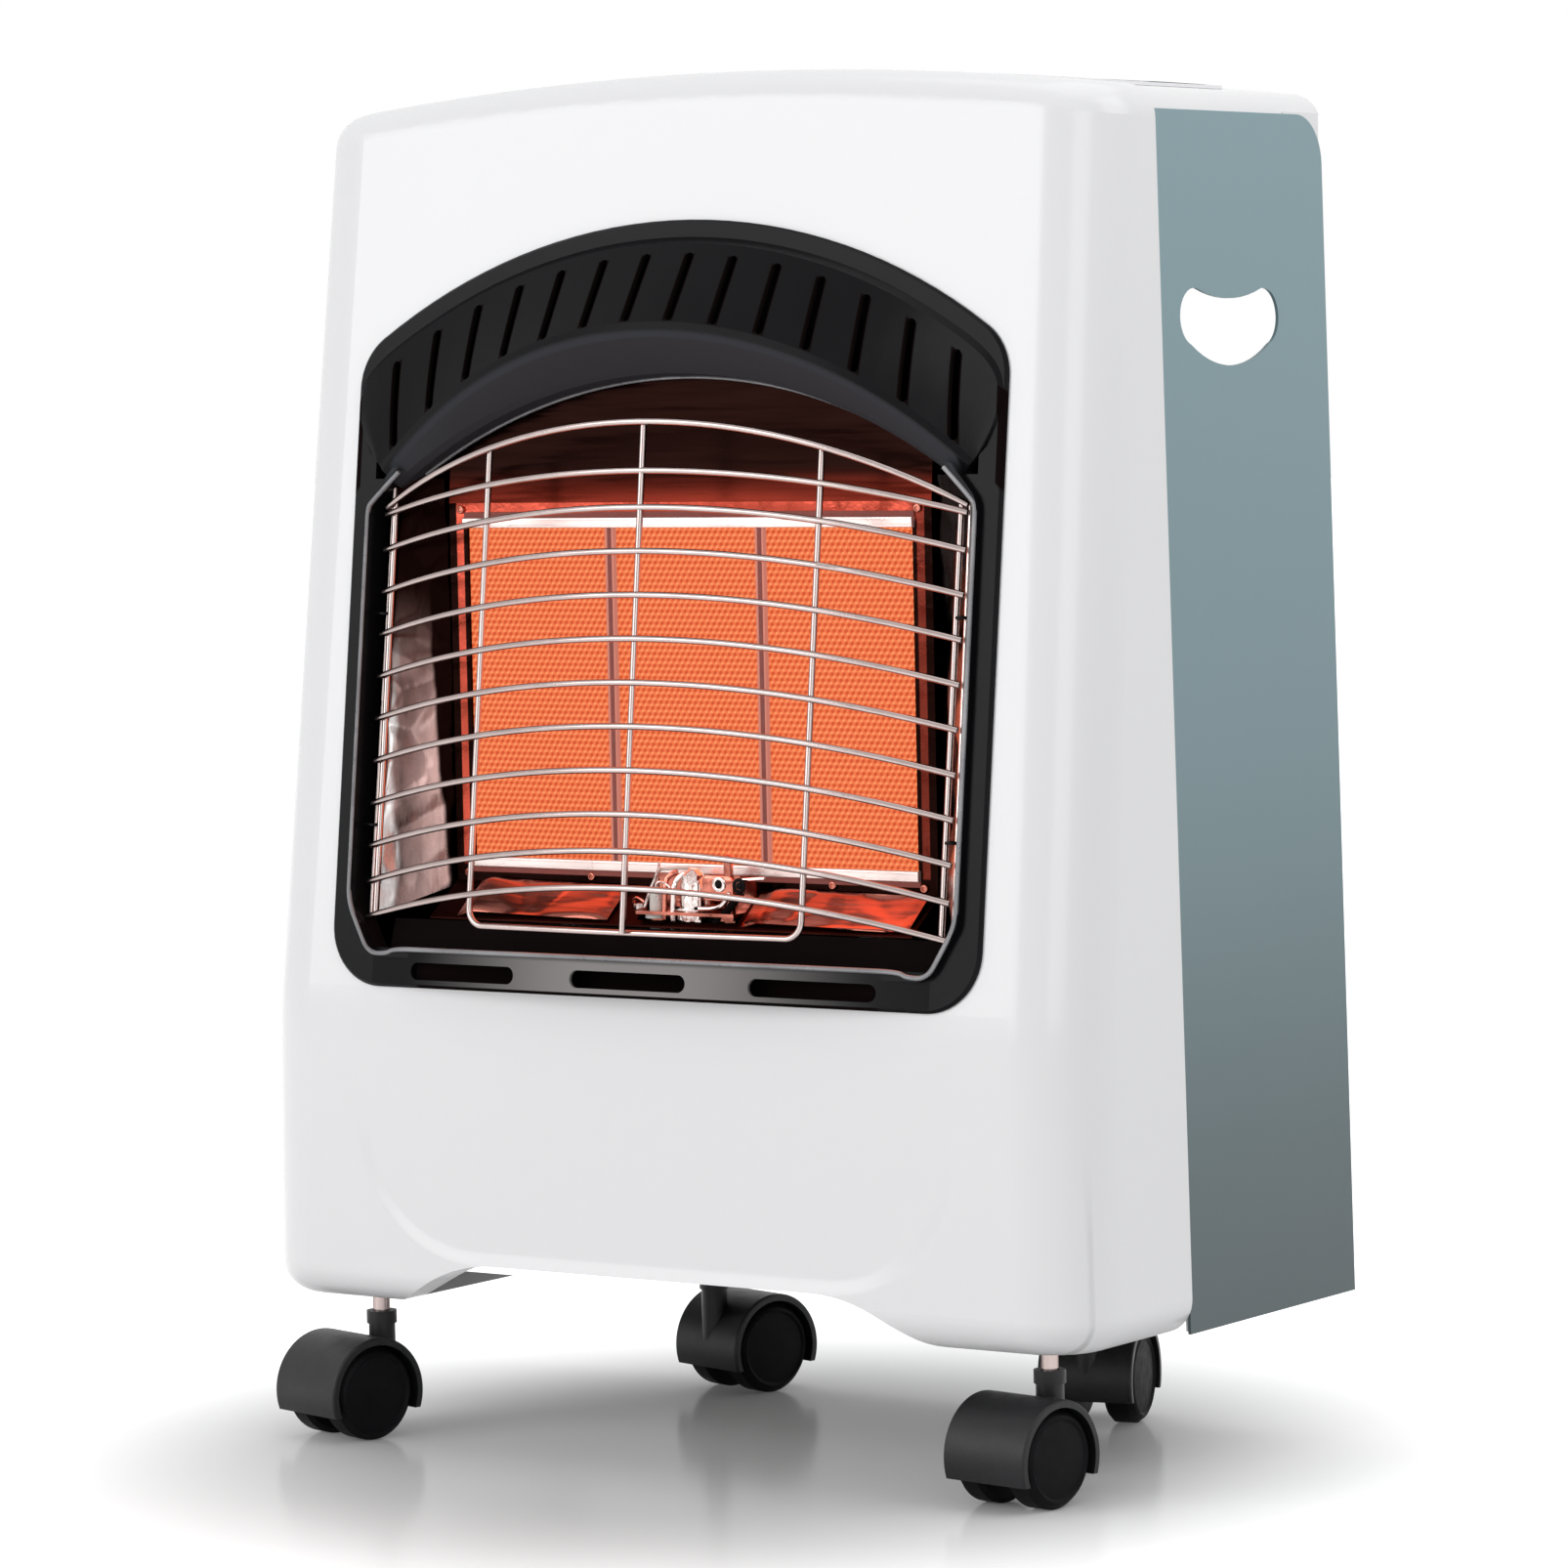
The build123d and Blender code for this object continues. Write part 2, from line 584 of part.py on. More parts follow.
def make_side_panel(side):
    skin = side_slab(SHELL_WALL, PANEL_WALL, SHELL_DEPTH, DEPTH, FOOT_Z, PANEL_TOP_Z, side)
    outline = polygon((0, 0), (DEPTH, 0), (DEPTH, PANEL_TOP_Z), (0, PANEL_TOP_Z))
    corner = outline.vertices().sort_by_distance((DEPTH, PANEL_TOP_Z))[0]
    skin = skin & along_x(fillet(corner, PANEL_CORNER), -WIDTH, WIDTH)
    tongue = side_slab(SHELL_WALL, PANEL_WALL, SHELL_DEPTH - TONGUE, SHELL_DEPTH, TONGUE_LOW_Z,
                       TONGUE_HIGH_Z, side)
    flange_y = DEPTH - COVER_WALL
    flange = side_slab(SHELL_WALL + PANEL_WALL / 2, PANEL_FLANGE, flange_y - PANEL_WALL,
                       flange_y, FOOT_Z + PANEL_FLANGE_END,
                       PANEL_TOP_Z - PANEL_CORNER - PANEL_FLANGE_END, side)
    panel = skin + tongue + flange
    return panel - mirrored(along_x(hand_hole(), 0, WIDTH), side) - cover_screw_holes()


def rounded_crown(inset, low_z):
    """The casing's front view with rounded top corners."""
    outline = crown_outline(inset, low_z)
    corners = outline.vertices().filter_by(lambda v: v.Y > PANEL_TOP_Z)
    return fillet(corners, SHELL_TOP_EDGE - inset)


def top_form(inset):
    """The arched top with its rolled rear edge, offset inwards by inset."""
    outline = rounded_crown(SHELL_WALL + inset, PANEL_TOP_Z - 2 * TOP_SKIRT)
    span = along_y(outline, SHELL_DEPTH - TOP_TUCK - inset, DEPTH - inset)
    rear = DEPTH - inset
    high = TOP_Z - SHELL_WALL - inset
    profile = polygon((0, 0), (rear, 0), (rear, high), (0, high))
    corner = profile.vertices().sort_by_distance((DEPTH, TOP_Z))[0]
    return span & along_x(fillet(corner, PANEL_CORNER - inset), -WIDTH, WIDTH)


def well_plan(grow):
    """Plan of the control well, grown by the given amount."""
    width = WELL_RIGHT - WELL_LEFT + 2 * grow
    depth = WELL_REAR - WELL_FRONT + 2 * grow
    centre = ((WELL_LEFT + WELL_RIGHT) / 2, (WELL_FRONT + WELL_REAR) / 2)
    return Pos(*centre) * RectangleRounded(width, depth, WELL_CORNER + grow)


def make_top_cover():
    """Arched sheet whose skirts pass inside the side panels."""
    keep_z = PANEL_TOP_Z - TOP_SKIRT
    above = block(-WIDTH, WIDTH, 0, DEPTH, keep_z, TOP_Z + PAST)
    sheet = (top_form(0) - top_form(TOP_WALL)) & above
    for side in (-1, 1):
        sheet = sheet - side_slab(-PAST, PAST + INSIDE, 0, DEPTH + PAST, keep_z - PAST,
                                  PANEL_TOP_Z, side)
        skirt = side_slab(INSIDE, TOP_WALL, SHELL_DEPTH, DEPTH - PANEL_CORNER, keep_z,
                          PANEL_TOP_Z + TOP_WALL, side)
        sheet = sheet + (skirt & top_form(0))
    return sheet - along_z(well_plan(WELL_WALL + WELL_FIT), keep_z, TOP_Z + PAST)


def make_control_panel():
    """A tub let into the top cover, with a flange that follows the arch."""
    low_z = WELL_FLOOR_Z - TOP_SKIRT
    high_z = TOP_Z + PAST
    lid = along_y(crown_outline(SHELL_WALL - WELL_FLANGE_RISE, low_z), 0, DEPTH)
    seat = along_y(crown_outline(SHELL_WALL - SEAT, low_z), 0, DEPTH)
    flange = (along_z(well_plan(WELL_WALL + WELL_FLANGE), WELL_FLOOR_Z, high_z) & lid) - seat
    walls = along_z(well_plan(WELL_WALL), WELL_UNDER_Z, high_z) & lid
    tub = flange + walls - along_z(well_plan(0), WELL_FLOOR_Z, high_z)
    for x, radius in ((KNOB_X, BUSH_R), (BUTTON_X, BUTTON_STEM_R)):
        tub = tub - rod_z(x, CONTROL_Y, low_z, high_z, radius + FIT)
    return tub


def make_rear_cover():
    """Screwed sheet with two banks of louvre slots and a stiffening flange at its top."""
    cover = tapered_plate(INSIDE + SEAM, COVER_LOW_Z, COVER_TOP_Z, DEPTH - COVER_WALL, DEPTH)
    reach = half_width(COVER_TOP_Z) - COVER_STIFFENER_END
    cover = cover + block(-reach, reach, DEPTH - COVER_STIFFENER, DEPTH - COVER_WALL,
                          COVER_TOP_Z - COVER_WALL, COVER_TOP_Z)
    slot = SlotOverall(LOUVRE_LENGTH, LOUVRE_HEIGHT)
    for bank in (LOUVRE_LOW_Z, LOUVRE_HIGH_Z):
        for row in range(LOUVRE_ROWS):
            for x in (-LOUVRE_X, LOUVRE_X):
                place = Pos(x, bank + row * LOUVRE_PITCH) * slot
                cover = cover - along_y(place, DEPTH - PAST, DEPTH + PAST)
    return cover - cover_screw_holes()


def make_base_plate():
    """Floor of the cabinet, with side flanges and a rear lip that are turned down."""
    half = half_width(BASE_TOP_Z) - INSIDE
    front = ARCH_FLANGE + SEAM
    rear = DEPTH - COVER_WALL - PANEL_WALL - SEAM
    plate = block(-half, half, front, rear, BASE_TOP_Z - COVER_WALL, BASE_TOP_Z)
    for side in (-1, 1):
        plate = plate - block(side * (half - FRONT_NOTCH), side * (half + PAST), 0,
                              SHELL_CORNER + FRONT_NOTCH, 0, TOP_Z)
        plate = plate + side_slab(INSIDE, COVER_WALL, SHELL_DEPTH + SEAM, rear,
                                  FOOT_Z + SHELL_WALL, BASE_TOP_Z, side)
    return plate + block(-half + COVER_WALL, half - COVER_WALL, rear - COVER_WALL, rear,
                         BASE_TOP_Z - BASE_LIP, BASE_TOP_Z)


def make_panel_screws():
    """Pan-head screws in the rear cover."""
    screws = []
    for x, z in cover_screw_places():
        head = rod_y(x, z, DEPTH, DEPTH + SCREW_HEAD, SCREW_HEAD_R)
        head = fillet(head.edges().group_by(Axis.Y)[-1], SCREW_HEAD / 2)
        screws.append(head + rod_y(x, z, DEPTH - SCREW_LENGTH, DEPTH + SCREW_HEAD / 2, SCREW_R))
    return Compound(screws)


def make_caster_sockets():
    """Flanged tubes under the base plate that hold the caster stems."""
    sockets = []
    under = BASE_TOP_Z - COVER_WALL
    for x, y, _ in caster_places().values():
        tube = rod_z(x, y, FOOT_Z + SEAM, under, SOCKET_R)
        flange = rod_z(x, y, under - SOCKET_FLANGE_WALL, under, SOCKET_R + SOCKET_FLANGE)
        bore = rod_z(x, y, 0, STEM_TOP_Z + STOP_PLAY, STEM_R + FIT)
        sockets.append(tube + flange - bore)
    return Compound(sockets)


# ---------------------------------------------------------------- bezel and guard
def opening_outline(grow):
    """The bezel's opening on the leaning face, grown by the given amount."""
    top = HOOD_CENTRE + HOOD_LIP
    side_top = up_slope(OPENING_TOP_Z)
    side_high = up_slope(OPENING_SIDE_HIGH_Z)
    side_low = up_slope(OPENING_SIDE_LOW_Z)
    low = up_slope(OPENING_LOW_Z)
    sides = Polyline(
        (-OPENING_TOP_HALF, side_top), (-OPENING_HALF, side_high), (-OPENING_HALF, side_low),
        (-OPENING_LOW_HALF, low), (OPENING_LOW_HALF, low), (OPENING_HALF, side_low),
        (OPENING_HALF, side_high), (OPENING_TOP_HALF, side_top))
    arc = ThreePointArc((OPENING_TOP_HALF, side_top), (0, top), (-OPENING_TOP_HALF, side_top))
    outline = fillet(make_face([*sides.edges(), arc]).vertices(), OPENING_CORNER)
    return offset(outline, amount=grow) if grow else outline


def hood_section(angle):
    """Cross-section of the hood's sheet in the radial plane at an angle."""
    turn = radians(angle)
    share = (angle / HOOD_SWEEP) ** 2
    toe = min(HOOD_TOE, (BEZEL_HALF - BEZEL_LAP) / max(sin(abs(turn)), 0.1))
    bow = (HOOD_RIDGE * sin(turn)) ** 2 / (2 * HOOD_BOW)
    ridge = HOOD_RISE - bow
    toe_rise = HOOD_TOE_RISE - HOOD_TOE_FALL * share
    lip = HOOD_LIP + HOOD_LIP_SPREAD * share
    lip_rise = HOOD_LIP_RISE - HOOD_LIP_BOW * bow
    sheet = HOOD_SHEET
    outer = [
        (toe + sheet, HOOD_FOOT),
        (toe - sheet, toe_rise),
        (HOOD_RIDGE + 1.4 * sheet, ridge - 0.3 * sheet),
        (HOOD_RIDGE, ridge),
        (HOOD_RIDGE - 1.8 * sheet, ridge - 0.9 * sheet),
        (lip + sheet, lip_rise + sheet),
        (lip, lip_rise - 0.5 * sheet),
        (lip, -WALL_BACK),
    ]
    inner = [
        (lip + sheet, -WALL_BACK),
        (lip + sheet, lip_rise - sheet),
        (HOOD_RIDGE - 1.4 * sheet, ridge - 2.3 * sheet),
        (HOOD_RIDGE + sheet, ridge - 1.3 * sheet),
        (toe - 1.4 * sheet, toe_rise - 1.1 * sheet),
        (toe - 0.7 * sheet, HOOD_FOOT - sheet),
    ]
    points = [(r * sin(turn), HOOD_CENTRE + r * cos(turn), w) for r, w in outer + inner]
    return make_face(Polyline(*points, close=True))


def bezel_plate():
    """Flat frame of the bezel on the leaning face, open under the hood."""
    plate = extrude(bezel_outline(0), amount=BEZEL_PLATE)
    rim = plate.edges().filter_by(lambda e: (e @ 0.5).Z > BEZEL_PLATE - SEAM)
    plate = chamfer(rim, BEZEL_BEVEL)
    hood_low = up_slope(OPENING_TOP_Z) - OPENING_CORNER
    above = Pos(0, hood_low + WIDTH / 2) * Rectangle(2 * OPENING_HALF, WIDTH)
    hood_space = (Pos(0, HOOD_CENTRE) * Circle(HOOD_TOE - HOOD_FOOT)) & above
    plate = plate - extrude(hood_space, amount=BEZEL_CORNER, both=True)
    return plate - extrude(opening_outline(0), amount=BEZEL_CORNER, both=True)


def opening_wall():
    """Beaded wall round the opening, with a taller wall behind its lower edge."""
    ring = opening_outline(BEAD_WIDTH) - opening_outline(0)
    wall = Pos(0, 0, -WALL_BACK) * extrude(ring, amount=WALL_BACK + BEAD_RISE)
    hood_low = up_slope(OPENING_TOP_Z) - OPENING_CORNER / 2
    wall = wall - block(-WIDTH, WIDTH, hood_low, TOP_Z, -WIDTH, WIDTH)
    low = up_slope(OPENING_LOW_Z)
    rear = -WALL_BACK - KICK_SET
    kick = polygon(
        (low - BEAD_WIDTH, BEAD_WIDTH - WALL_BACK), (low, BEAD_WIDTH - WALL_BACK),
        (low + KICK_HEIGHT, rear + BEAD_WIDTH), (low + KICK_HEIGHT, rear), (low, -WALL_BACK),
        (low - BEAD_WIDTH, -WALL_BACK))
    return wall + along_x(kick, -KICK_HALF, KICK_HALF)


def sill_plan(shrink):
    """Plan of the lower rail: a bow over the leaning face, in (x, height over the face)."""
    half = SILL_HALF - shrink
    low = -shrink
    bow = ThreePointArc((-half, SILL_EDGE), (0, SILL_RISE - shrink), (half, SILL_EDGE))
    base = Polyline((half, SILL_EDGE), (half, low), (-half, low), (-half, SILL_EDGE))
    return make_face([bow, *base.edges()])


def bezel_sill():
    """Bowed, hollow rail below the opening, slotted through its skin."""
    low = up_slope(BEZEL_LOW_Z) + SILL_INSET
    high = up_slope(OPENING_LOW_Z) + BEAD_WIDTH
    sill = along_y(sill_plan(0), low, high)
    sill = sill - along_y(sill_plan(SILL_SHEET), low + SILL_SHEET, high - SILL_SHEET)
    sill = sill & extrude(bezel_outline(SILL_INSET), amount=SILL_RISE)
    slot = SlotOverall(SILL_SLOT_LENGTH, SILL_SLOT_HEIGHT)
    for x in (-SILL_SLOT_X, 0, SILL_SLOT_X):
        sill = sill - extrude(Pos(x, up_slope(SILL_SLOT_Z), BEZEL_PLATE) * slot,
                              amount=SILL_RISE)
    return sill


def make_bezel():
    """Black frame with a bowed, slotted hood over the opening and a bowed lower rail."""
    stations = [HOOD_SWEEP * (2 * i / (HOOD_STATIONS - 1) - 1) for i in range(HOOD_STATIONS)]
    hood = loft([hood_section(angle) for angle in stations])
    body = bezel_plate() + opening_wall() + hood + bezel_sill()
    behind = block(-WIDTH, WIDTH, -WIDTH, TOP_Z, -WIDTH, 0)
    body = body - (behind - extrude(bezel_outline(BEZEL_LAP + SEAM), amount=-WIDTH))
    for i in range(SLOT_COUNT):
        x = (i - (SLOT_COUNT - 1) / 2) * SLOT_PITCH
        low = HOOD_CENTRE + sqrt(SLOT_INNER ** 2 - x ** 2)
        high = HOOD_CENTRE + sqrt(SLOT_OUTER ** 2 - x ** 2)
        slot = Rot(0, 0, 90) * SlotOverall(high - low, SLOT_WIDTH)
        body = body - extrude(Pos(x, (low + high) / 2) * slot, amount=2 * HOOD_RISE)
    return SLOPE * body


def guard_rows():
    """End height of each horizontal wire, from the lowest."""
    even = (GUARD_HIGH_Z - GUARD_LOW_Z - 3 * GUARD_END_PITCH) / GUARD_MIDDLE_ROWS
    rows = [GUARD_LOW_Z]
    for step in [GUARD_END_PITCH] * 2 + [even] * GUARD_MIDDLE_ROWS + [GUARD_END_PITCH]:
        rows.append(rows[-1] + step)
    return rows


def guard_wire(end_z, rise):
    """A wire bowed forwards and upwards between its two ends."""
    half = GUARD_HALF + GUARD_OVERHANG
    y = face_y(end_z)
    path = ThreePointArc((-half, y, end_z), (0, y - GUARD_BULGE, end_z + rise), (half, y, end_z))
    return swept_bar(path, WIRE_R)


def bar(a, b, radius):
    """A straight round bar between two points."""
    axis = Vector(*b) - Vector(*a)
    return Plane(origin=a, z_dir=axis) * Pos(0, 0, axis.length / 2) * Cylinder(
        radius, axis.length)


def guard_vertical(x, z=None):
    """Point on a vertical wire, just behind the rows, at height z or at its upper end."""
    rows = guard_rows()
    share = 1 - (x / (GUARD_HALF + GUARD_OVERHANG)) ** 2
    top_z = rows[-1] + TOP_WIRE_STEP
    behind = 2 * WIRE_R - GUARD_WELD - GUARD_BULGE * share
    low_z = rows[0] + GUARD_RISE * share
    high_z = top_z + TOP_WIRE_RISE * share
    slope = (face_y(top_z) - face_y(rows[0])) / (high_z - low_z)
    z = high_z if z is None else z
    return x, face_y(rows[0]) + behind + slope * (z - low_z), z


def guard_loop():
    """The two inner verticals, which are one wire bent under the rows."""
    sides = [(guard_vertical(x), guard_vertical(x, GUARD_LOOP_Z))
             for x in (-GUARD_VERTICAL_X, GUARD_VERTICAL_X)]
    middle = Vector(*guard_vertical(0, GUARD_LOOP_Z)) + Vector(0, 2 * WIRE_R - GUARD_WELD, 0)
    points = [*sides[0], tuple(middle), *reversed(sides[1])]
    radii = bend_radii(points, CROWN_RADIUS)
    path = FilletPolyline(*points, radius=[GUARD_LOOP_BEND, radii[1], GUARD_LOOP_BEND])
    return swept_bar(path, WIRE_R)


def make_wire_guard():
    rows = guard_rows()
    guard = guard_wire(rows[-1] + TOP_WIRE_STEP, TOP_WIRE_RISE)
    for end_z in rows:
        guard = guard + guard_wire(end_z, GUARD_RISE)
    for x in (-GUARD_HALF, GUARD_HALF):
        guard = guard + bar(guard_vertical(x, GUARD_LOW_Z), guard_vertical(x), WIRE_R)
    guard = guard + bar(guard_vertical(0, GUARD_LOOP_Z), guard_vertical(0), WIRE_R)
    return guard + guard_loop()


def make_guard_clips():
    """Blocks on the opening's side walls that hold the guard's end wires."""
    clips = []
    rows = guard_rows()
    wire = bar(guard_vertical(GUARD_HALF, GUARD_LOW_Z), guard_vertical(GUARD_HALF),
               WIRE_R + FIT)
    for row in (CLIP_ROWS_IN, len(rows) - 2 - CLIP_ROWS_IN):
        _, y, z = guard_vertical(GUARD_HALF, (rows[row] + rows[row + 1]) / 2)
        clip = block(GUARD_HALF - CLIP_SIZE / 2, OPENING_HALF, y - CLIP_SIZE / 2,
                     y + CLIP_SIZE / 2, z - CLIP_SIZE / 2, z + CLIP_SIZE / 2) - wire
        clips += [mirrored(clip, 1), mirrored(clip, -1)]
    return Compound(clips)


# ---------------------------------------------------------------- burner
def make_plaque(x):
    return block(x - PLAQUE_WIDTH / 2, x + PLAQUE_WIDTH / 2, PLAQUE_Y, PLAQUE_Y + PLAQUE_THICK,
                 PLAQUE_LOW_Z, PLAQUE_HIGH_Z)


def plaque_layer(x, extra, y0, y1):
    """A block with a plaque's outline, grown by extra."""
    half = PLAQUE_WIDTH / 2 + extra
    return block(x - half, x + half, y0, y1, PLAQUE_LOW_Z - extra, PLAQUE_HIGH_Z + extra)


def make_housing(x):
    """Box behind a plaque, open to the front, with a ledge that the plaque rests on."""
    front = PLAQUE_Y + HOUSING_SETBACK
    box = plaque_layer(x, HOUSING_PLAY + HOUSING_WALL, front, HOUSING_REAR_Y)
    box = box - plaque_layer(x, HOUSING_PLAY, PLAQUE_Y, PLAQUE_Y + PLAQUE_THICK)
    box = box - plaque_layer(x, -LEDGE, PLAQUE_Y, HOUSING_REAR_Y - HOUSING_WALL)
    return box - rod_z(x, MIXER_Y, HOUSING_LOW_Z - PAST, PLAQUE_LOW_Z + PAST,
                       MIXER_R - MIXER_WALL)


def make_plaque_frame():
    """Tray over the burner: a window for each plaque and walls back to the heat shield."""
    tray = block(-FRAME_HALF, FRAME_HALF, FRAME_Y, SHIELD_Y, FRAME_LOW_Z, FRAME_HIGH_Z)
    inner = FRAME_HALF - FRAME_WALL
    tray = tray - block(-inner, inner, PLAQUE_Y, SHIELD_Y, FRAME_LOW_Z + FRAME_WALL,
                        FRAME_HIGH_Z - FRAME_WALL)
    for x in PLAQUE_X:
        tray = tray - plaque_layer(x, -FRAME_LAP, FRAME_Y - PAST, PLAQUE_Y + SEAM)
        tray = tray - rod_z(x, MIXER_Y, FRAME_LOW_Z - PAST, FRAME_LOW_Z + PAST,
                            MIXER_BELL_R + STOP_PLAY)
    return tray


def make_heat_shield():
    """Sheet behind the burner, flanged to the side panels, with two pressed channels."""
    sheet = tapered_plate(INSIDE, BASE_TOP_Z, SHIELD_TOP_Z, SHIELD_Y, SHIELD_Y + COVER_WALL)
    for side in (-1, 1):
        sheet = sheet + side_slab(INSIDE, COVER_WALL, SHIELD_Y, SHIELD_Y + SHIELD_FLANGE,
                                  BASE_TOP_Z, TONGUE_HIGH_Z, side)
    reach = FRAME_HALF - 2 * FRAME_WALL
    low_channel = PLAQUE_LOW_Z + CHANNEL_INSET
    high_channel = PLAQUE_HIGH_Z - CHANNEL_INSET - CHANNEL_HEIGHT
    for z in (low_channel, high_channel):
        sheet = sheet + block(-reach, reach, HOUSING_REAR_Y, SHIELD_Y, z, z + CHANNEL_HEIGHT)
        sheet = sheet - block(-reach - PAST, reach + PAST, HOUSING_REAR_Y + COVER_WALL, SHIELD_Y,
                              z + COVER_WALL, z + CHANNEL_HEIGHT - COVER_WALL)
    sheet = sheet - rod_y(GAS_LANE[0], MANIFOLD_Z, SHIELD_Y - PAST, SHIELD_Y + PAST,
                          PIPE_R + COVER_WALL)
    lead_slot = Pos(LEAD_SLOT_X, LEAD_SLOT_Z) * SlotOverall(LEAD_SLOT_LENGTH, LEAD_SLOT_HEIGHT)
    return sheet - along_y(lead_slot, SHIELD_Y - PAST, SHIELD_Y + PAST)


def make_side_reflector(side):
    """Angled side panel between the plaque frame and the opening."""
    far_x = OPENING_HALF - CLIP_SIZE / 3
    plan = polygon((FRAME_HALF, PLAQUE_Y), (far_x, REFLECTOR_FRONT_Y),
                   (far_x + REFLECTOR_WALL, REFLECTOR_FRONT_Y),
                   (FRAME_HALF + REFLECTOR_WALL, PLAQUE_Y))
    behind_wall = front_block((WALL_BACK + SEAM) / LEAN_COS)
    panel = along_z(plan, OPENING_LOW_Z + REFLECTOR_LOW, OPENING_TOP_Z) & behind_wall
    panel = panel + block(FRAME_HALF, FRAME_HALF + REFLECTOR_WALL, PLAQUE_Y, SHIELD_Y,
                          OPENING_LOW_Z + REFLECTOR_FOOT_INSET,
                          OPENING_TOP_Z - REFLECTOR_FOOT_INSET)
    return mirrored(panel, side)


def make_bottom_reflector():
    """Sloping floor of the opening, with a slot for the pilot's parts."""
    front_z = OPENING_LOW_Z + FLOOR_RISE
    profile = polygon(
        (FLOOR_FRONT_Y, front_z), (FRAME_Y, FRAME_LOW_Z),
        (FRAME_Y, FRAME_LOW_Z - REFLECTOR_WALL), (FLOOR_FRONT_Y, front_z - REFLECTOR_WALL))
    panel = along_x(profile, -FRAME_HALF, FRAME_HALF)
    margin = PILOT_PLATE_MARGIN + STOP_PLAY
    slot_y = PILOT_Y - PILOT_R - STOP_PLAY / 2
    return panel - block(SPARK_X - margin, THERMO_X + margin, slot_y, PLAQUE_Y, 0, TOP_Z)


def make_top_reflector():
    """Ceiling of the opening, from the plaque frame up to the hood."""
    high_z = BEZEL_TOP_Z - CEILING_DROP
    high_y = face_y(high_z) + (WALL_BACK + STOP_PLAY) / LEAN_COS
    profile = polygon((FRAME_Y, FRAME_HIGH_Z), (high_y, high_z),
                      (high_y + REFLECTOR_WALL, high_z), (FRAME_Y + REFLECTOR_WALL, FRAME_HIGH_Z))
    return along_x(profile, -FRAME_HALF, FRAME_HALF)


def make_mixer_tubes():
    """Tubes that draw in air and lead the gas into the housings."""
    tubes = []
    neck_z = MIXER_LOW_Z + MIXER_BELL_HEIGHT
    for x in PLAQUE_X:
        bell = Pos(x, MIXER_Y, MIXER_LOW_Z + MIXER_BELL_HEIGHT / 2)
        tube = rod_z(x, MIXER_Y, neck_z, HOUSING_LOW_Z, MIXER_R)
        tube = tube + bell * Cone(MIXER_BELL_R, MIXER_R, MIXER_BELL_HEIGHT)
        tube = tube + rod_z(x, MIXER_Y, HOUSING_LOW_Z - MIXER_FLANGE, HOUSING_LOW_Z,
                            MIXER_BELL_R)
        tube = tube - rod_z(x, MIXER_Y, neck_z - MIXER_WALL, HOUSING_LOW_Z + PAST,
                            MIXER_R - MIXER_WALL)
        tube = tube - bell * Cone(MIXER_BELL_R - MIXER_WALL, MIXER_R - MIXER_WALL,
                                  MIXER_BELL_HEIGHT)
        tubes.append(tube)
    return Compound(tubes)


def make_gas_manifold():
    """Closed tube under the mixer tubes, on two straps that stand on the base plate."""
    tube = rod_x(MIXER_Y, MANIFOLD_Z, -MANIFOLD_FAR_END, MANIFOLD_END, MANIFOLD_R)
    half = STRAP_WIDTH / 2
    for x in (PLAQUE_X[0] + PLAQUE_PITCH / 2, PLAQUE_X[-1] - PLAQUE_PITCH / 2):
        tube = tube + block(x - half, x + half, MIXER_Y - STRAP_WALL / 2,
                            MIXER_Y + STRAP_WALL / 2, BASE_TOP_Z, MANIFOLD_Z)
        tube = tube + block(x - half, x + half, MIXER_Y - STRAP_FOOT / 2,
                            MIXER_Y + STRAP_FOOT / 2, BASE_TOP_Z, BASE_TOP_Z + STRAP_WALL)
    tube = tube - rod_x(MIXER_Y, MANIFOLD_Z, MANIFOLD_WALL - MANIFOLD_FAR_END,
                        MANIFOLD_END - MANIFOLD_WALL, MANIFOLD_R - MANIFOLD_WALL)
    return tube - rod_x(MIXER_Y, MANIFOLD_Z, MANIFOLD_END - PAST, MANIFOLD_END + PAST,
                        PIPE_R - STOP_PLAY)


def make_gas_jets():
    """Brass jets on the manifold, one under each mixer tube."""
    jets = []
    low = MANIFOLD_Z + MANIFOLD_R
    tip_height = JET_HEIGHT - JET_HEX_HEIGHT
    for x in PLAQUE_X:
        body = along_z(Pos(x, MIXER_Y) * RegularPolygon(JET_R, 6), low, low + JET_HEX_HEIGHT)
        tip = Pos(x, MIXER_Y, low + JET_HEX_HEIGHT + tip_height / 2) * Cone(
            JET_R - STOP_PLAY, JET_TIP_R, tip_height)
        jets.append(body + tip)
    return Compound(jets)


# ---------------------------------------------------------------- pilot
def make_pilot_bracket():
    """Shelf with a tab on the plaque frame, holding the pilot's three parts."""
    left = SPARK_X - PILOT_PLATE_MARGIN
    right = THERMO_X + PILOT_PLATE_MARGIN
    bracket = block(left, right, PILOT_Y - PILOT_PLATE_MARGIN, FRAME_Y, PILOT_PLATE_Z,
                    PILOT_PLATE_Z + PILOT_PLATE)
    bracket = bracket + block(left, right, FRAME_Y - PILOT_PLATE, FRAME_Y, PILOT_PLATE_Z,
                              FRAME_LOW_Z + PILOT_TAB_RISE)
    for x, radius in ((PILOT_X, PILOT_R), (THERMO_X, THERMO_R), (SPARK_X, SPARK_R)):
        bracket = bracket - rod_z(x, PILOT_Y, 0, TOP_Z, radius + FIT)
    return bracket


def pilot_stem(x, radius, rise):
    """Upright rod through the shelf, with a collar under it."""
    stem = rod_z(x, PILOT_Y, PILOT_TAIL_Z, PILOT_PLATE_Z + rise, radius)
    return stem + rod_z(x, PILOT_Y, PILOT_PLATE_Z - COLLAR_HEIGHT, PILOT_PLATE_Z,
                        radius + COLLAR_LIP)


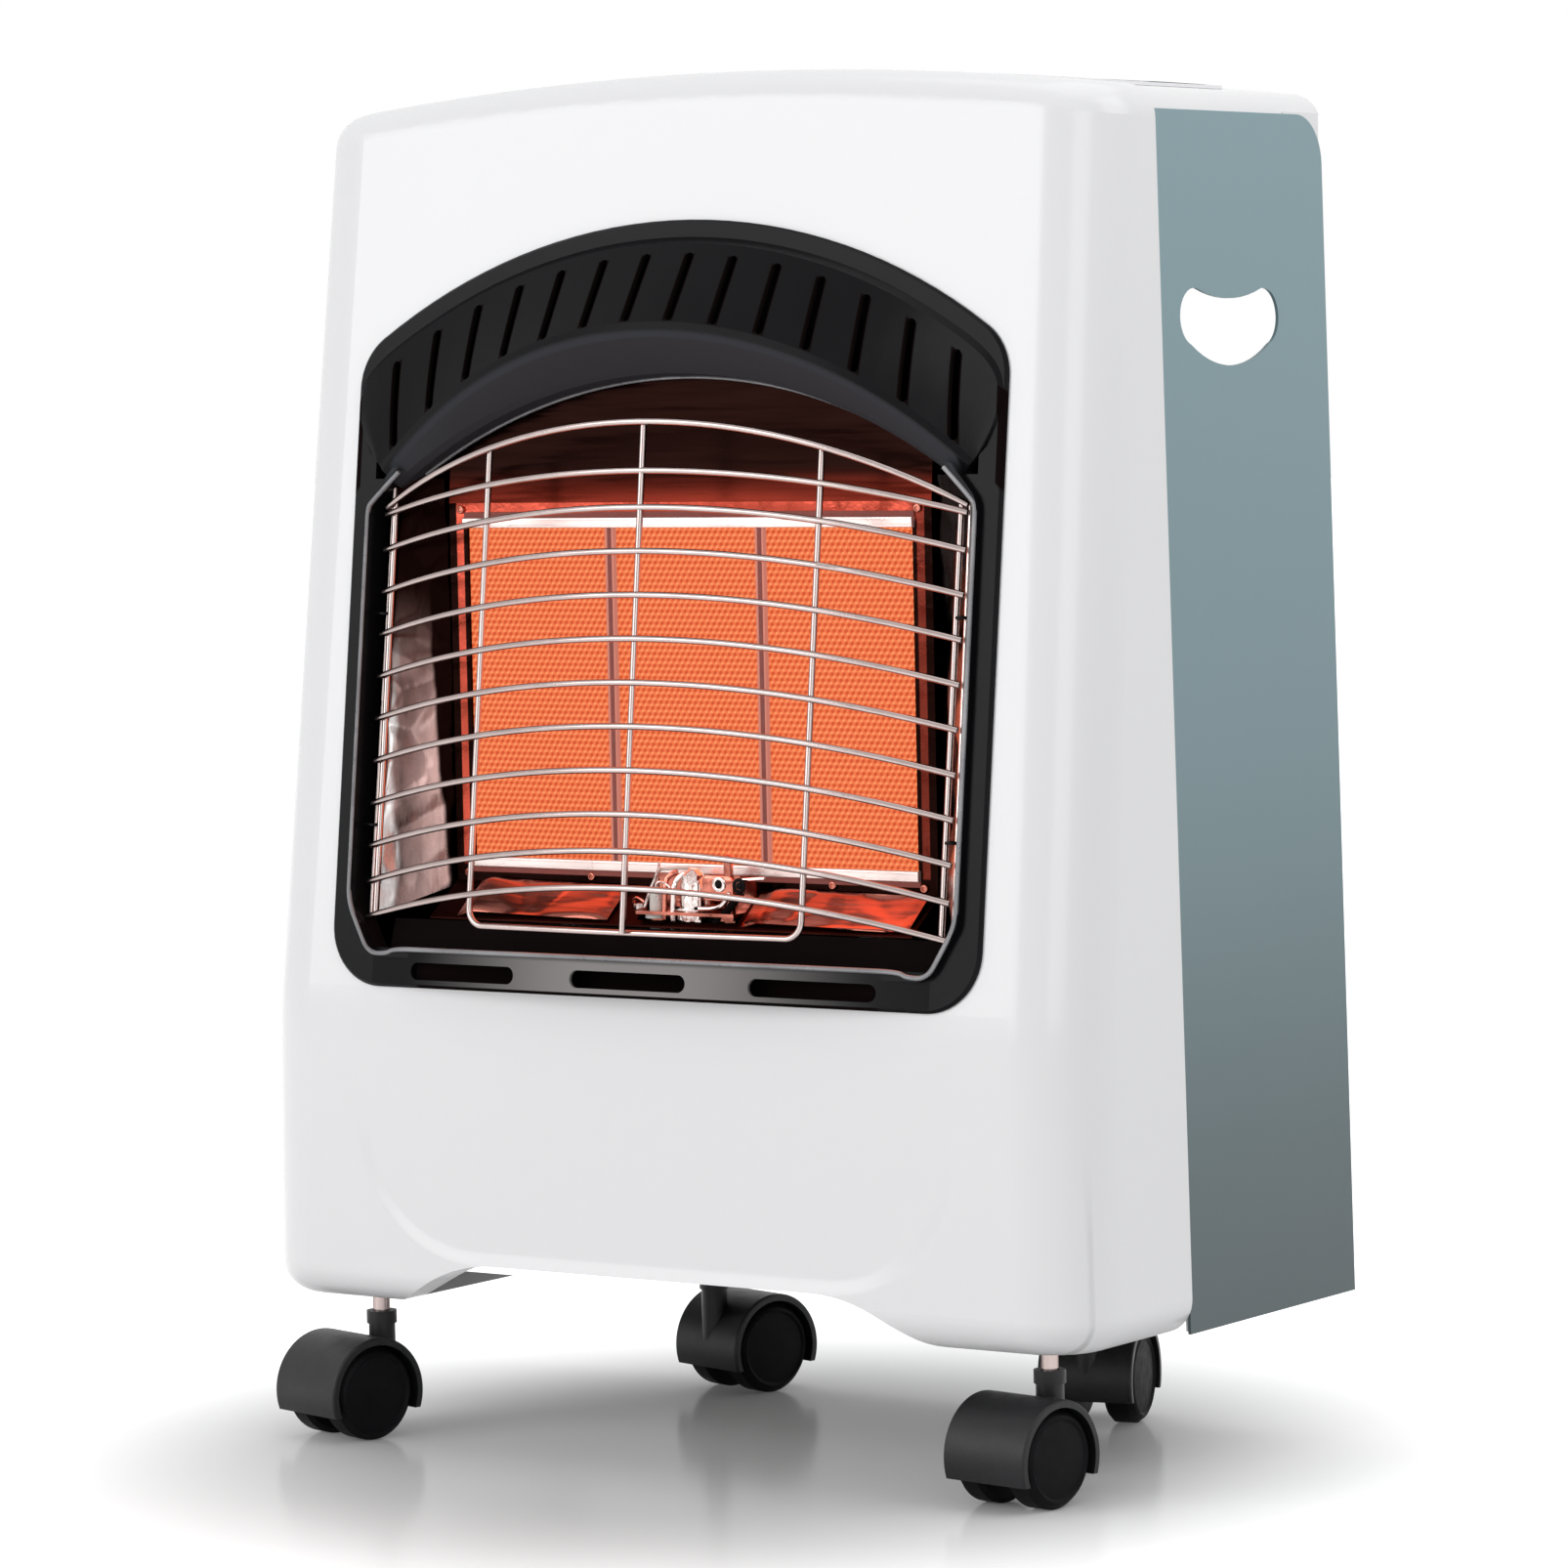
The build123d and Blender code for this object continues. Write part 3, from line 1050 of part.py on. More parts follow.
def make_pilot_burner():
    """Stem with a mouth that points at the plaques."""
    z = PILOT_PLATE_Z + PILOT_MOUTH_RISE
    end = PILOT_Y + PILOT_MOUTH_LENGTH
    burner = pilot_stem(PILOT_X, PILOT_R, PILOT_RISE)
    burner = burner + rod_y(PILOT_X, z, PILOT_Y, end, PILOT_MOUTH_R)
    return burner - rod_y(PILOT_X, z, PILOT_Y + PILOT_MOUTH_WALL, end + PAST,
                          PILOT_MOUTH_R - PILOT_MOUTH_WALL)


def make_thermocouple():
    """Probe with a stepped, rounded tip."""
    tip = rod_z(THERMO_X, PILOT_Y, PILOT_PLATE_Z + THERMO_RISE, PILOT_PLATE_Z + THERMO_TIP_RISE,
                THERMO_TIP_R)
    tip = fillet(tip.edges().group_by(Axis.Z)[-1], THERMO_TIP_R * 0.8)
    return pilot_stem(THERMO_X, THERMO_R, THERMO_RISE) + tip


def make_spark_electrode():
    """Ceramic sleeve with a bent wire that ends beside the pilot's mouth."""
    points = [
        (SPARK_X, PILOT_Y, PILOT_PLATE_Z + SPARK_RISE - STOP_PLAY),
        (SPARK_X, PILOT_Y, PILOT_PLATE_Z + SPARK_WIRE_RISE),
        (PILOT_X - PILOT_R, PILOT_Y + PILOT_R, PILOT_PLATE_Z + SPARK_WIRE_RISE + STOP_PLAY),
    ]
    return pilot_stem(SPARK_X, SPARK_R, SPARK_RISE) + bent_tube(points, SPARK_WIRE_R, SPARK_R)


# ---------------------------------------------------------------- leads and pipes
def low_route(x_end, lane, cross_y, cross_z):
    """Points from a pilot part's lower end to a vertical run behind the heat shield."""
    return [
        (x_end, PILOT_Y, PILOT_TAIL_Z),
        (x_end, PILOT_Y, cross_z),
        (x_end + THERMO_LEAD_BEND, cross_y, cross_z),
        (lane[0] - THERMO_LEAD_BEND, cross_y, cross_z),
        (lane[0], cross_y + THERMO_LEAD_BEND, cross_z),
        (lane[0], lane[1], cross_z),
    ]


def make_gas_pipe():
    """Copper pipe from the valve's outlet down to the manifold."""
    x, y = GAS_LANE
    points = [
        (KNOB_X, CONTROL_Y, OUTLET_Z),
        (KNOB_X, CONTROL_Y, OUTLET_Z - 1.5 * PIPE_BEND),
        (x, y, OUTLET_Z - 3.5 * PIPE_BEND),
        (x, y, MANIFOLD_Z),
        (x, MIXER_Y, MANIFOLD_Z),
        (MANIFOLD_END, MIXER_Y, MANIFOLD_Z),
    ]
    return bent_tube(points, PIPE_R, PIPE_BEND)


def make_pilot_tube():
    x, y = PILOT_LANE
    port_x = VALVE_SIDE + PORT_LENGTH
    port_y = CONTROL_Y - PILOT_PORT_SIDE
    z = VALVE_LOW_Z + PILOT_PORT_RISE
    points = low_route(PILOT_X, PILOT_LANE, PILOT_CROSS_Y, LEAD_SLOT_Z - LEAD_SPACING)
    points += [(x, y, z - LEAD_RISE), (port_x + PILOT_TUBE_BEND * 0.7, port_y, z),
               (port_x, port_y, z)]
    return bent_tube(points, PILOT_TUBE_R, PILOT_TUBE_BEND)


def make_thermocouple_lead():
    x, y = THERMO_LANE
    port_x = KNOB_X + THERMO_PORT_SIDE
    port_y = VALVE_FRONT - PORT_LENGTH
    z = VALVE_LOW_Z + THERMO_PORT_RISE
    points = low_route(THERMO_X, THERMO_LANE, THERMO_CROSS_Y, LEAD_SLOT_Z)
    points += [(x, y, z - LEAD_RISE), (port_x, port_y - 1.4 * THERMO_LEAD_BEND, z),
               (port_x, port_y, z)]
    return bent_tube(points, THERMO_LEAD_R, THERMO_LEAD_BEND)


def make_ignition_lead():
    x, y = SPARK_LANE
    low = WELL_UNDER_Z - PIEZO_HEIGHT
    points = low_route(SPARK_X, SPARK_LANE, SPARK_CROSS_Y, LEAD_SLOT_Z + LEAD_SPACING)
    points += [(x, y, low - 2 * LEAD_RISE), (BUTTON_X, CONTROL_Y, low - LEAD_RISE),
               (BUTTON_X, CONTROL_Y, low)]
    return bent_tube(points, SPARK_LEAD_R, SPARK_LEAD_BEND)


# ---------------------------------------------------------------- controls
def make_gas_valve():
    """Cast valve body under the control panel, with its neck and three ports."""
    valve = block(VALVE_SIDE - VALVE_WIDTH, VALVE_SIDE, VALVE_FRONT, VALVE_REAR, VALVE_LOW_Z,
                  VALVE_TOP_Z)
    valve = fillet(valve.edges().filter_by(Axis.Z), VALVE_CORNER)
    valve = valve + rod_z(KNOB_X, CONTROL_Y, VALVE_TOP_Z, WELL_UNDER_Z, BUSH_R + VALVE_NECK_WALL)
    valve = valve + rod_z(KNOB_X, CONTROL_Y, OUTLET_Z, VALVE_LOW_Z, PIPE_R + PORT_WALL)
    valve = valve + rod_x(CONTROL_Y - PILOT_PORT_SIDE, VALVE_LOW_Z + PILOT_PORT_RISE, VALVE_SIDE,
                          VALVE_SIDE + PORT_LENGTH, PILOT_TUBE_R + PORT_WALL / 2)
    valve = valve + rod_y(KNOB_X + THERMO_PORT_SIDE, VALVE_LOW_Z + THERMO_PORT_RISE,
                          VALVE_FRONT - PORT_LENGTH, VALVE_FRONT, THERMO_PORT_R)
    return valve - rod_z(KNOB_X, CONTROL_Y, VALVE_TOP_Z - VALVE_BORE, WELL_UNDER_Z + PAST,
                         BUSH_R + FIT)


def make_hose_nozzle():
    """Nut and hose tail on the valve's rear face: two ridges, then a smooth end."""
    tail_end = VALVE_REAR + NUT_LENGTH + RIDGE_LENGTH + TAIL_LENGTH
    face = Plane(origin=(KNOB_X, VALVE_REAR, INLET_Z), x_dir=(1, 0, 0), z_dir=(0, 1, 0))
    nozzle = face * extrude(RegularPolygon(NUT_R, 6), amount=NUT_LENGTH)
    nozzle = nozzle + rod_y(KNOB_X, INLET_Z, VALVE_REAR, tail_end, TAIL_R)
    pitch = RIDGE_LENGTH / RIDGE_COUNT
    for i in range(RIDGE_COUNT):
        middle = Pos(KNOB_X, VALVE_REAR + NUT_LENGTH + (i + 0.5) * pitch, INLET_Z)
        nozzle = nozzle + middle * Rot(-90, 0, 0) * Cone(TAIL_R + RIDGE_RISE, TAIL_R, 0.9 * pitch)
    return nozzle - rod_y(KNOB_X, INLET_Z, VALVE_REAR + TAIL_WALL, tail_end + PAST,
                          TAIL_R - TAIL_WALL)


def make_spindle_bush():
    """Sliding bush in the valve's neck: it follows the push but doesn't turn."""
    bush = rod_z(KNOB_X, CONTROL_Y, BUSH_LOW_Z, WELL_FLOOR_Z + STOP_PLAY, BUSH_R)
    return bush - rod_z(KNOB_X, CONTROL_Y, 0, TOP_Z, SPINDLE_R + FIT)


def spindle_flat(play):
    """Block that takes the flat off the spindle."""
    return block(KNOB_X + SPINDLE_R - SPINDLE_FLAT + play, KNOB_X + KNOB_R, CONTROL_Y - KNOB_R,
                 CONTROL_Y + KNOB_R, KNOB_LOW_Z, TOP_Z)


def make_valve_spindle():
    """Steel shaft with a flat, in the knob."""
    shaft = rod_z(KNOB_X, CONTROL_Y, BUSH_LOW_Z, KNOB_LOW_Z + KNOB_SOCKET, SPINDLE_R)
    return shaft - spindle_flat(0)


def make_control_knob():
    """Round knob with a grip bar across its top."""
    base = rod_z(KNOB_X, CONTROL_Y, KNOB_LOW_Z, KNOB_LOW_Z + KNOB_SKIRT, KNOB_R)
    base = fillet(base.edges().group_by(Axis.Z)[-1], KNOB_SKIRT / 3)
    grip_height = KNOB_HEIGHT - KNOB_SKIRT + STOP_PLAY
    knob = base + Pos(KNOB_X, CONTROL_Y, KNOB_LOW_Z + KNOB_HEIGHT - grip_height / 2) * Cone(
        KNOB_GRIP_R, KNOB_GRIP_TOP_R, grip_height)
    for side in (-1, 1):
        knob = knob - block(KNOB_X + side * KNOB_GRIP_HALF, KNOB_X + side * KNOB_R,
                            CONTROL_Y - KNOB_R, CONTROL_Y + KNOB_R,
                            KNOB_LOW_Z + KNOB_GRIP_LOW, TOP_Z)
    socket = rod_z(KNOB_X, CONTROL_Y, KNOB_LOW_Z - PAST, KNOB_LOW_Z + KNOB_SOCKET + FIT,
                   SPINDLE_R + FIT)
    return knob - (socket - spindle_flat(FIT))


def make_igniter_body():
    """Piezo igniter under the panel, hollow for the button's stem."""
    body = rod_z(BUTTON_X, CONTROL_Y, WELL_UNDER_Z - PIEZO_HEIGHT, WELL_UNDER_Z,
                 BUTTON_STEM_R + PIEZO_WALL)
    bore_low = WELL_UNDER_Z - BUTTON_STEM - BUTTON_TRAVEL - STOP_PLAY
    return body - rod_z(BUTTON_X, CONTROL_Y, bore_low, WELL_UNDER_Z + PAST, BUTTON_STEM_R + FIT)


def make_igniter_button():
    """Cap on a stem that slides in the igniter."""
    cap = rod_z(BUTTON_X, CONTROL_Y, CAP_LOW_Z, CAP_LOW_Z + BUTTON_CAP, BUTTON_R)
    cap = fillet(cap.edges().group_by(Axis.Z)[-1], BUTTON_CAP / 5)
    return cap + rod_z(BUTTON_X, CONTROL_Y, WELL_UNDER_Z - BUTTON_STEM, CAP_LOW_Z + STOP_PLAY,
                       BUTTON_STEM_R)


# ---------------------------------------------------------------- casters
def caster_frame(x, y, turn):
    """Where a caster stands: its trail points to the front at turn 0."""
    return Pos(x, y, 0) * Rot(0, 0, turn)


def make_caster_stem(x, y):
    stem = rod_z(x, y, STEM_LOW_Z, STEM_TOP_Z, STEM_R)
    return fillet(stem.edges().group_by(Axis.Z)[0], STOP_PLAY)


def make_caster_hood(x, y, turn):
    """Half-round hood over the wheels, on a web that holds the axle and the stem."""
    hollow_r = WHEEL_R + CASTER_HOOD_GAP
    far = 2 * CASTER_HOOD_R
    hood = rod_x(-TRAIL, WHEEL_R, -CASTER_HOOD_HALF, CASTER_HOOD_HALF, CASTER_HOOD_R)
    hood = fillet(hood.edges().filter_by(GeomType.CIRCLE), CASTER_HOOD_GAP)
    hood = hood - rod_x(-TRAIL, WHEEL_R, -far, far, hollow_r)
    hood = hood - block(-far, far, -TRAIL - far, far, -far, CASTER_HOOD_LOW_Z)
    web = rod_x(-TRAIL, WHEEL_R, -NECK_R, NECK_R, hollow_r + CASTER_HOOD_GAP)
    web = web - block(-far, far, -TRAIL - far, far, -far, CASTER_HOOD_LOW_Z + AXLE_R)
    neck = rod_z(0, 0, STEM_LOW_Z - 4 * STOP_PLAY, NECK_TOP_Z, NECK_R)
    collar = rod_z(0, 0, NECK_TOP_Z - NECK_COLLAR, NECK_TOP_Z, NECK_R + NECK_COLLAR_LIP)
    hood = hood + web + neck + collar
    hood = hood - rod_z(0, 0, STEM_LOW_Z - STOP_PLAY, TOP_Z, STEM_R + FIT)
    hood = hood - rod_x(-TRAIL, WHEEL_R, -far, far, AXLE_R + FIT)
    return caster_frame(x, y, turn) * hood


def make_caster_axle(x, y, turn):
    axle = rod_x(-TRAIL, WHEEL_R, -AXLE_HALF, AXLE_HALF, AXLE_R)
    return caster_frame(x, y, turn) * axle


def make_caster_wheel(x, y, turn, side):
    """Moulded wheel with a rounded tread and a dished outer face."""
    profile = polygon(
        (WHEEL_INNER_X, 0), (WHEEL_INNER_X, WHEEL_R - 2.0), (WHEEL_INNER_X + 2.0, WHEEL_R),
        (WHEEL_OUTER_X - 3.5, WHEEL_R), (WHEEL_OUTER_X - 0.8, WHEEL_R - 2.2),
        (WHEEL_OUTER_X, WHEEL_R - 3.6), (WHEEL_OUTER_X - 1.0, WHEEL_R - 5.0),
        (WHEEL_OUTER_X - 0.5, 2 * AXLE_R), (WHEEL_OUTER_X - 0.5, 0))
    wheel = revolve(profile, axis=Axis.X)
    wheel = wheel - rod_x(0, 0, 0, AXLE_HALF + SEAM, AXLE_R + FIT)
    return caster_frame(x, y, turn) * Pos(0, -TRAIL, WHEEL_R) * mirrored(wheel, side)


# ---------------------------------------------------------------- write the nodes
def save(name, solid):
    export_step(ORIGIN * solid, "parts/" + name + ".step")


def main():
    os.makedirs("parts", exist_ok=True)
    save("front_shell", make_front_shell())
    save("left_side_panel", make_side_panel(-1))
    save("right_side_panel", make_side_panel(1))
    save("top_cover", make_top_cover())
    save("rear_cover", make_rear_cover())
    save("base_plate", make_base_plate())
    save("panel_screws", make_panel_screws())
    save("caster_sockets", make_caster_sockets())
    save("bezel", make_bezel())
    save("wire_guard", make_wire_guard())
    save("guard_clips", make_guard_clips())
    for name, x in zip(("left", "centre", "right"), PLAQUE_X):
        save("ceramic_plaque_" + name, make_plaque(x))
        save("burner_housing_" + name, make_housing(x))
    save("plaque_frame", make_plaque_frame())
    save("heat_shield", make_heat_shield())
    save("reflector_left", make_side_reflector(-1))
    save("reflector_right", make_side_reflector(1))
    save("reflector_bottom", make_bottom_reflector())
    save("reflector_top", make_top_reflector())
    save("mixer_tubes", make_mixer_tubes())
    save("gas_manifold", make_gas_manifold())
    save("gas_jets", make_gas_jets())
    save("pilot_bracket", make_pilot_bracket())
    save("pilot_burner", make_pilot_burner())
    save("thermocouple", make_thermocouple())
    save("spark_electrode", make_spark_electrode())
    save("gas_pipe", make_gas_pipe())
    save("pilot_tube", make_pilot_tube())
    save("thermocouple_lead", make_thermocouple_lead())
    save("ignition_lead", make_ignition_lead())
    save("control_panel", make_control_panel())
    save("gas_valve", make_gas_valve())
    save("hose_nozzle", make_hose_nozzle())
    save("spindle_bush", make_spindle_bush())
    save("valve_spindle", make_valve_spindle())
    save("control_knob", make_control_knob())
    save("igniter_body", make_igniter_body())
    save("igniter_button", make_igniter_button())
    stems = []
    for name, (x, y, turn) in caster_places().items():
        stems.append(make_caster_stem(x, y))
        save(name + "_caster_hood", make_caster_hood(x, y, turn))
        save(name + "_caster_axle", make_caster_axle(x, y, turn))
        save(name + "_wheel_a", make_caster_wheel(x, y, turn, -1))
        save(name + "_wheel_b", make_caster_wheel(x, y, turn, 1))
    save("caster_stems", Compound(stems))


main()
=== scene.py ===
# %% [markdown]
# A portable gas cabinet heater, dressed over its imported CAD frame.
# The frame gives every sheet, wire and wheel at its real size, in metres, with +Z up and the
# heater's front towards -Y. This lesson gives each of them its finish and adds the small
# pressed, folded and turned details that a steel maker would leave on the real object.

# %% Load the frame
import bpy
import bmesh
import math
from mathutils import Matrix, Vector, noise


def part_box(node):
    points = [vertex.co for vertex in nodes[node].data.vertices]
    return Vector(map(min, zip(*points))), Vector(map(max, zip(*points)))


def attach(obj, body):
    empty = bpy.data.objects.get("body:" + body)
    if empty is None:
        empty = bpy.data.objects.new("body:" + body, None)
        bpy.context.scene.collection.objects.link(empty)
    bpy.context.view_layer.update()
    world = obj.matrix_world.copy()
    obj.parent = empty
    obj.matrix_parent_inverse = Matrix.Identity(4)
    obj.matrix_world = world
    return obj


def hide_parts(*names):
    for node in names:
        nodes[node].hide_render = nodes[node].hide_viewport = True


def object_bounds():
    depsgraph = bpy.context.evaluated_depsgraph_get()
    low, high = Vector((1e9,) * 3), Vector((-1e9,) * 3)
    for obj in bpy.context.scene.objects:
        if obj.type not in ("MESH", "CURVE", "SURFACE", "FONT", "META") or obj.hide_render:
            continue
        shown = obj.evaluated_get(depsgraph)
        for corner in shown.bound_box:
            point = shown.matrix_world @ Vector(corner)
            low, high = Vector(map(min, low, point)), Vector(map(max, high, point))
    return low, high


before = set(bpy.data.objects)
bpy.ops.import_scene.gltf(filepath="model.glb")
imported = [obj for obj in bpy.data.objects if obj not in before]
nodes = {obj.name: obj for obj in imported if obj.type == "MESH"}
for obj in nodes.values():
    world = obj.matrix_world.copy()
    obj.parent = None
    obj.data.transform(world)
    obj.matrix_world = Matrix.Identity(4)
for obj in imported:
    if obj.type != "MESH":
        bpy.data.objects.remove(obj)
cad_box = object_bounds()
MM = 0.001
print("nodes:", len(nodes), "box:", [[round(c, 4) for c in corner] for corner in cad_box])

# %% [markdown]
# The camera comes first. The photograph was taken with a long lens from the right, a little
# above the middle of the heater, so upright edges stay almost parallel. Its place, its two
# angles and its slight roll are set as they were worked out from the cabinet's edges.

# %% Camera
CAMERA_PLACE = (1.6170, -2.3563, 0.5003)
CAMERA_TURN = 34.49
CAMERA_DIP = 3.87
CAMERA_ROLL = -1.14
CAMERA_LENS = 141.17

lens = bpy.data.cameras.new("camera")
lens.lens = CAMERA_LENS
lens.sensor_width = 36.0
camera = bpy.data.objects.new("camera", lens)
bpy.context.scene.collection.objects.link(camera)
aim = (Matrix.Rotation(math.radians(CAMERA_TURN), 4, "Z")
       @ Matrix.Rotation(math.radians(90 - CAMERA_DIP), 4, "X")
       @ Matrix.Rotation(math.radians(CAMERA_ROLL), 4, "Z"))
camera.matrix_world = Matrix.Translation(CAMERA_PLACE) @ aim
bpy.context.scene.camera = camera
print("camera at", [round(c, 3) for c in camera.location])

# %% [markdown]
# Materials are wired from small nodes. These helpers add and link them, because every mask
# and pattern below is arithmetic on a place or on the kind of ray.

# %% Helpers for nodes
PURE_WHITE = (1, 1, 1, 1)


def add_node(tree, kind, **values):
    """One node, with plain values on its named inputs."""
    node = tree.nodes.new("ShaderNode" + kind)
    for name, value in values.items():
        node.inputs[name].default_value = value
    return node


def math_node(tree, operation, a, b=None):
    """One Math node: each input is a socket or a number."""
    node = add_node(tree, "Math")
    node.operation = operation
    for index, value in enumerate((a, b)):
        if value is None:
            continue
        if hasattr(value, "is_linked"):
            tree.links.new(value, node.inputs[index])
        else:
            node.inputs[index].default_value = value
    return node.outputs[0]


def chain(tree, operation, values):
    """One operation over a whole row of values."""
    result = values[0]
    for value in values[1:]:
        result = math_node(tree, operation, result, value)
    return result


def range_node(tree, value, from_low, from_high, to_low=0.0, to_high=1.0, smooth=True):
    """A value moved from one range to another, held at the range's ends."""
    node = add_node(tree, "MapRange")
    node.interpolation_type = "SMOOTHSTEP" if smooth else "LINEAR"
    for key, number in (("From Min", from_low), ("From Max", from_high),
                        ("To Min", to_low), ("To Max", to_high)):
        node.inputs[key].default_value = number
    tree.links.new(value, node.inputs["Value"])
    return node.outputs["Result"]


def seen_directly(tree):
    """1 for the camera's rays and for what gloss and glass show, 0 for rays that light."""
    path = add_node(tree, "LightPath")
    return chain(tree, "MAXIMUM", [path.outputs["Is %s Ray" % kind]
                                   for kind in ("Camera", "Glossy", "Transmission")])


# %% [markdown]
# The studio is one large soft light in front on the left, a weaker one in front on the right,
# a small one high on the right, one from above and an even white world. The world shows white
# to the camera and in reflections, but lights the heater only at a plain level, so white
# enamel doesn't clip.

# %% Lights and world
WORLD_LEVEL = 0.51
# Each lamp: its name, its place, where it aims, its width in metres and its power in watts.
LAMPS = (("key_light", (-1.3, -2.4, 1.2), (0, 0, 0.30), 1.6, 25.5),
         ("front_fill", (1.7, -1.7, 0.9), (0.1, 0, 0.3), 1.0, 5.0),
         ("fill_light", (1.1, 0.1, 1.25), (0.2, 0.02, 0.5), 0.8, 3.8),
         ("top_light", (0.2, 0.3, 2.3), (0, 0, 0.3), 1.8, 7.0))


def add_area(name, place, target, size, power):
    """A square soft light that faces a target."""
    data = bpy.data.lights.new(name, "AREA")
    data.energy = power
    data.size = size
    lamp = bpy.data.objects.new(name, data)
    lamp.location = place
    lamp.rotation_euler = (Vector(target) - Vector(place)).to_track_quat("-Z", "Y").to_euler()
    bpy.context.scene.collection.objects.link(lamp)
    return lamp


for lamp in LAMPS:
    add_area(*lamp)
world = bpy.data.worlds.new("studio")
bpy.context.scene.world = world
world.use_nodes = True
sky = world.node_tree
sky.nodes.clear()
lighting = add_node(sky, "Background", Color=PURE_WHITE, Strength=WORLD_LEVEL)
backdrop = add_node(sky, "Background", Color=PURE_WHITE)
choose = add_node(sky, "MixShader")
sky_out = add_node(sky, "OutputWorld")
sky.links.new(seen_directly(sky), choose.inputs["Fac"])
sky.links.new(lighting.outputs[0], choose.inputs[1])
sky.links.new(backdrop.outputs[0], choose.inputs[2])
sky.links.new(choose.outputs[0], sky_out.inputs["Surface"])
bpy.context.scene.view_settings.view_transform = "Standard"

# %% [markdown]
# The hot plaques light what stands round them: the wires from behind, the side reflectors and
# the floor of the opening. A flat orange-red lamp just in front of their faces does that. The
# camera doesn't see the lamp itself, only what it lights.

# %% Light from the plaques
GLOW_POWER = 0.16
GLOW_LIGHT = (1.0, 0.25, 0.14)
GLOW_GAP = 5 * MM
plaque_low, plaque_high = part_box("ceramic_plaque_centre")
left_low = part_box("ceramic_plaque_left")[0]
plaque_mid_z = (plaque_low.z + plaque_high.z) / 2
heat = add_area("plaque_light", (0, plaque_low.y - GLOW_GAP, plaque_mid_z),
                (0, plaque_low.y - 1.0, plaque_mid_z), 0.1, GLOW_POWER)
heat.data.shape = "RECTANGLE"
heat.data.size = -2 * left_low.x
heat.data.size_y = plaque_high.z - plaque_low.z
heat.data.color = GLOW_LIGHT
heat.visible_camera = False
print("plaque light:", round(heat.data.size, 3), "by", round(heat.data.size_y, 3))

# %% [markdown]
# The floor is a matt white sweep with a faint polish. Close to the heater it takes the soft
# shadow and a weak mirror image of the casters. Further out it shows plain white, so no
# horizon is left: an even glow that only the camera and reflections see grows with distance.

# %% Floor
FLOOR_SIZE = 40
FLOOR_WHITE = 0.66
GLOW_FAR = 0.90
SHADE_CENTRE = (0.0, -0.05, 0.0)
SHADE_RADIUS = 0.14
CLEAR_RADIUS = 0.47
POLISH = 0.12
POLISH_ROUGH = 0.16

bpy.ops.object.select_all(action="DESELECT")
bpy.ops.mesh.primitive_plane_add(size=FLOOR_SIZE, location=(0, 0, 0))
floor = bpy.context.object
floor.name = "floor"
floor_paint = bpy.data.materials.new("floor_paint")
floor_paint.use_nodes = True
ground = floor_paint.node_tree
ground.nodes.clear()
matt = add_node(ground, "BsdfDiffuse", Color=(FLOOR_WHITE, FLOOR_WHITE, FLOOR_WHITE, 1))
polish = add_node(ground, "BsdfGlossy", Color=PURE_WHITE, Roughness=POLISH_ROUGH)
surface = add_node(ground, "MixShader", Fac=POLISH)
glow = add_node(ground, "Emission", Color=PURE_WHITE)
floor_place = add_node(ground, "TexCoord")
from_centre = add_node(ground, "VectorMath")
from_centre.operation = "SUBTRACT"
from_centre.inputs[1].default_value = SHADE_CENTRE
ground.links.new(floor_place.outputs["Object"], from_centre.inputs[0])
away = add_node(ground, "VectorMath")
away.operation = "LENGTH"
ground.links.new(from_centre.outputs["Vector"], away.inputs[0])
level = range_node(ground, away.outputs["Value"], SHADE_RADIUS, CLEAR_RADIUS, 0.0, GLOW_FAR)
ground.links.new(math_node(ground, "MULTIPLY", level, seen_directly(ground)),
                 glow.inputs["Strength"])
both = add_node(ground, "AddShader")
ground_out = add_node(ground, "OutputMaterial")
ground.links.new(matt.outputs[0], surface.inputs[1])
ground.links.new(polish.outputs[0], surface.inputs[2])
ground.links.new(surface.outputs[0], both.inputs[0])
ground.links.new(glow.outputs[0], both.inputs[1])
ground.links.new(both.outputs[0], ground_out.inputs["Surface"])
floor.data.materials.append(floor_paint)
print("floor:", floor.dimensions[0], "m across")

# %% [markdown]
# Most finishes here share one recipe: a base colour that drifts slightly, a roughness that
# varies as handled or moulded surfaces do, and a fine bump for orange peel, moulding grain or
# brushing. One helper builds that recipe from Object coordinates, so the pattern stays still
# on the piece. Special finishes add their own nodes to what the helper returns.

# %% Helpers for finishes
NOISE_LOW = 0.3
NOISE_HIGH = 0.7
RANGE_SOCKETS = {"value": 6, "from_low": 7, "from_high": 8, "to_low": 9, "to_high": 10}


def noise_node(tree, vector, scale, detail):
    """A cloud pattern of the given fineness."""
    node = add_node(tree, "TexNoise", Scale=scale, Detail=detail)
    tree.links.new(vector, node.inputs["Vector"])
    return node.outputs["Fac"]


def colour_range(tree, value, dark, light, low=NOISE_LOW, high=NOISE_HIGH):
    """A colour between two, as a value goes from low to high."""
    node = add_node(tree, "MapRange")
    node.data_type = "FLOAT_VECTOR"
    node.inputs[RANGE_SOCKETS["from_low"]].default_value = (low,) * 3
    node.inputs[RANGE_SOCKETS["from_high"]].default_value = (high,) * 3
    node.inputs[RANGE_SOCKETS["to_low"]].default_value = dark
    node.inputs[RANGE_SOCKETS["to_high"]].default_value = light
    tree.links.new(value, node.inputs[RANGE_SOCKETS["value"]])
    return node.outputs["Vector"]


